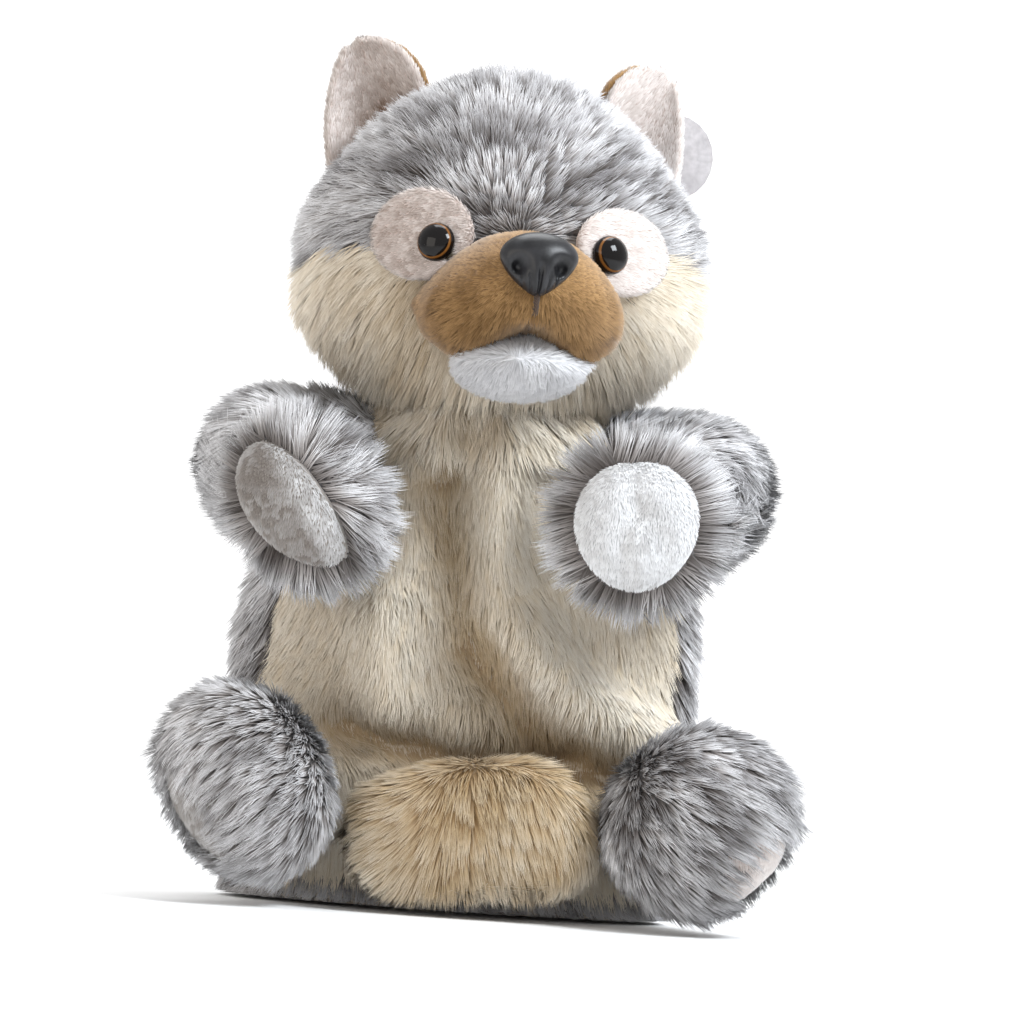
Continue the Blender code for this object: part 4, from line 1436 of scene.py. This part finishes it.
def build_limb(kind, word, form, pad_node, body, coat, tone):
    """A stuffed paw or foot: its skin, its fur, and its bare pad with a velour pile."""
    cloth, velour, pad_tone, *outline = PADS[(kind, word)]
    aim = unit(centroid(pad_node) - form_middle(form))
    name = f"{kind}_pad_cloth_{word}"
    pad, on_pad = lay_pad(name, form, Vector(centroid(pad_node)), Vector(aim), *outline)
    pad.data.materials.append(cloth)
    pad_middle = form_middle(pad)

    def flow(places, normals):
        """A paw's fur opens out round its pad; a foot's runs over the top to its sole."""
        q = places - pad_middle
        around = unit(q - np.sum(q * normals, axis=1, keepdims=True) * normals)
        toward = unit(aim - (normals @ aim)[:, None] * normals)
        lie = around if kind == "paw" else toward
        return lie + drift(places, 0.03, 81) * 0.30 + np.array((0, 0, -0.20))

    def length(places, normals):
        reach = np.linalg.norm(places - pad_middle, axis=1)
        return 0.80 + 0.30 * smooth_step(-reach, -0.045, -0.028)

    def lift(places, normals):
        reach = np.linalg.norm(places - pad_middle, axis=1)
        return 0.9 + (0.8 if kind == "paw" else 0.3) * smooth_step(-reach, -0.040, -0.026)

    def off_pad(places, normals):
        return ~on_pad(places)

    def hang(places, normals):
        return np.tile((0, 0, -1.0), (len(places), 1))

    def faces_out(places, normals):
        return normals @ aim > 0.2

    name = f"{kind}_hair_{word}"
    fur = grow(name, form, coat, FROST, 151, flow, off_pad, tone, length, lift, spread=STREAKS)
    pile = grow(f"{kind}_pile_{word}", pad, VELOUR, velour, 152, hang, faces_out, pad_tone)
    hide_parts(pad_node)
    for piece in (form, fur):
        if kind == "foot":
            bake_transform(piece)
        else:
            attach(piece, body)
    for piece in (pad, pile):
        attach(piece, body)


def lay_pad(name, form, middle, aim, half_long, half_wide, tilt, creases):
    """A pad with a rounded outline, laid on a limb's skin; its long way is tilted from straight up."""
    across = Vector((0.0, 0.0, 1.0)).cross(aim).normalized()
    up = aim.cross(across)
    long_way = up * math.cos(tilt) + across * math.sin(tilt)
    wide_way = long_way.cross(aim).normalized()
    skin = skin_tree(form)
    rings, around = 14, 48
    verts = []
    for ring in range(rings + 1):
        share = ring / rings
        for j in range(around if ring else 1):
            turn = 2 * math.pi * j / around
            egg = 1.0 + 0.10 * math.cos(turn)
            place = middle + long_way * half_long * share * math.cos(turn)
            place += wide_way * half_wide * egg * share * math.sin(turn)
            hit, normal, _, _ = skin.ray_cast(place + aim * 0.05, -aim)
            if hit is None:
                hit, normal, _, _ = skin.find_nearest(place)
            flat = np.array([[share * math.sin(turn), share * math.cos(turn)]])
            dent = sum(along_line(flat, line, 0.16)[0] for line in creases) * CREASE_DEPTH
            rise = PAD_RISE * (1 - share**5) + PAD_EDGE - dent
            verts.append(hit + normal * rise * 0.5 + aim * rise * 0.5)
    faces = [(0, 1 + j, 1 + (j + 1) % around) for j in range(around)] + ring_faces(rings, around, 1)
    mesh = mesh_from(name, verts, faces)
    if sum(face.normal.dot(aim) for face in mesh.polygons) < 0:
        mesh.flip_normals()
    pad = add_mesh(name, mesh)
    thicken(pad, PAD_THICKNESS)
    relax(pad, 3)
    pad.data.shade_smooth()

    def on_pad(places):
        q = places - np.array(middle)
        a, b = q @ np.array(long_way) / half_long, q @ np.array(wide_way) / half_wide
        return (a * a + b * b < 0.84) & (q @ np.array(aim) > -0.02)

    return pad, on_pad


PAD_RISE = 0.0030
PAD_EDGE = 0.0004  # how far a pad's edge stands out
PAD_THICKNESS = 0.0016
CREASE_DEPTH = 0.0016
RIGHT_PAD_CREASES = (  # across and along the pad, in shares of its half sizes
    ((-0.10, 0.85), (0.00, 0.30), (-0.20, -0.20), (-0.15, -0.70)),
    ((0.00, 0.30), (0.45, -0.10), (0.50, -0.45)),
)


def form_middle(form):
    return mesh_array(form.data.vertices, "co", 3).mean(axis=0)


def paw_tone(places, normals):
    return 0.58 + ripple(places, 0.009, 83) * 0.26


def lit_foot_tone_left(places, normals):
    # Painted light: the left foot's fur is lighter, its visible side facing the light.
    return 0.72 + ripple(places, 0.010, 85) * 0.22


def shaded_foot_tone_right(places, normals):
    # Painted shade: the right foot's fur is darker, its visible side facing away from the light.
    return 0.44 + ripple(places, 0.010, 87) * 0.30


def even_tone(level, seed):
    return lambda places, normals: level + ripple(places, 0.012, seed) * 0.08


def left_pad_tone(places, normals):
    """Painted shade: dark all over, the left pad facing away from the light, with a paler strip down the side
    towards the belly.
    """
    across = places[:, 0] - places[:, 0].mean() + 0.6 * (places[:, 2] - places[:, 2].mean())
    return 0.10 + 0.42 * smooth_step(across, 0.001, 0.008) + ripple(places, 0.012, 91) * 0.06


# Darker pad cloth for the left pads; on the left paw it is painted shade, the pad facing away from the light.
DARK_PAD_SKIN = cloth_material("dark_pad_backing", (0.20, 0.175, 0.155), (0.36, 0.33, 0.30))
PADS = {  # cloth, pile and its tone, half long, half wide, tilt of the long way, creases
    ("paw", "left"): (DARK_PAD_SKIN, VELOUR_WHITE, left_pad_tone, 0.0240, 0.0125, math.radians(-40), ()),
    ("paw", "right"): (WHITE_SKIN, VELOUR_WHITE, even_tone(0.88, 92), 0.0212, 0.0200, 0.0, RIGHT_PAD_CREASES),
    ("foot", "left"): (DARK_PAD_SKIN, VELOUR_WHITE, even_tone(0.24, 93), 0.0225, 0.0115, math.radians(-25), ()),
    ("foot", "right"): (PINK_SKIN, SOLE_PINK, even_tone(0.82, 94), 0.0190, 0.0135, math.radians(15), ()),
}


# ---- putting it together ------------------------------------------------------------------------
add_camera()
light_scene()
add_stage()

skull = hull_of("head_skin", ("crown_panel", "cheek_left", "cheek_right", "back_of_head"), 0.0005)
muzzle = hull_of("muzzle_skin", ("muzzle",), 0.0015)
chin = hull_of("chin_skin", ("chin",), 0.0010)
roll = hull_of("hem_roll_skin", ("front_hem_roll",), 0.002)
paws = limb_skins("paw", "paw_fur", "paw_pad")
feet = limb_skins("foot", "leg_fur", "sole")
forms = [skull, muzzle, chin, roll, *paws.values(), *feet.values()]
shape_skull(skull)
reshape(chin, (1.40, 1.38, 1.80), (0.0, 0.0045, 0.0040))
shape_muzzle(muzzle)
shape_roll(roll)
for _, word in SIDES:
    shape_foot(feet[word], word)
reshape(paws["right"], (1.09, 1.00, 1.09), (0.0, 0.0, 0.0))
swell(forms)
for piece in forms:
    subdivide(piece)
for piece, cloth in ((skull, FROST_SKIN), (muzzle, TAN_SKIN), (chin, WHITE_SKIN), (roll, GOLDEN_SKIN)):
    piece.data.materials.append(cloth)
build_head(skull, muzzle, chin)
build_nose()
build_eyes()
build_neck()
build_tag()
inner_materials()
build_ears()
build_glove()
build_roll(roll)
for side, word in SIDES:
    for piece in (paws[word], feet[word]):
        piece.data.materials.append(FROST_SKIN)
    build_sleeve(word, side)
    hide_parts(f"paw_fur_{word}")
    build_limb("paw", word, paws[word], f"paw_pad_{word}", f"paw_{word}", RIM, paw_tone)
    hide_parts(f"leg_fur_{word}")
    tone = lit_foot_tone_left if side < 0 else shaded_foot_tone_right
    build_limb("foot", word, feet[word], f"sole_{word}", f"leg_{word}", LONG, tone)
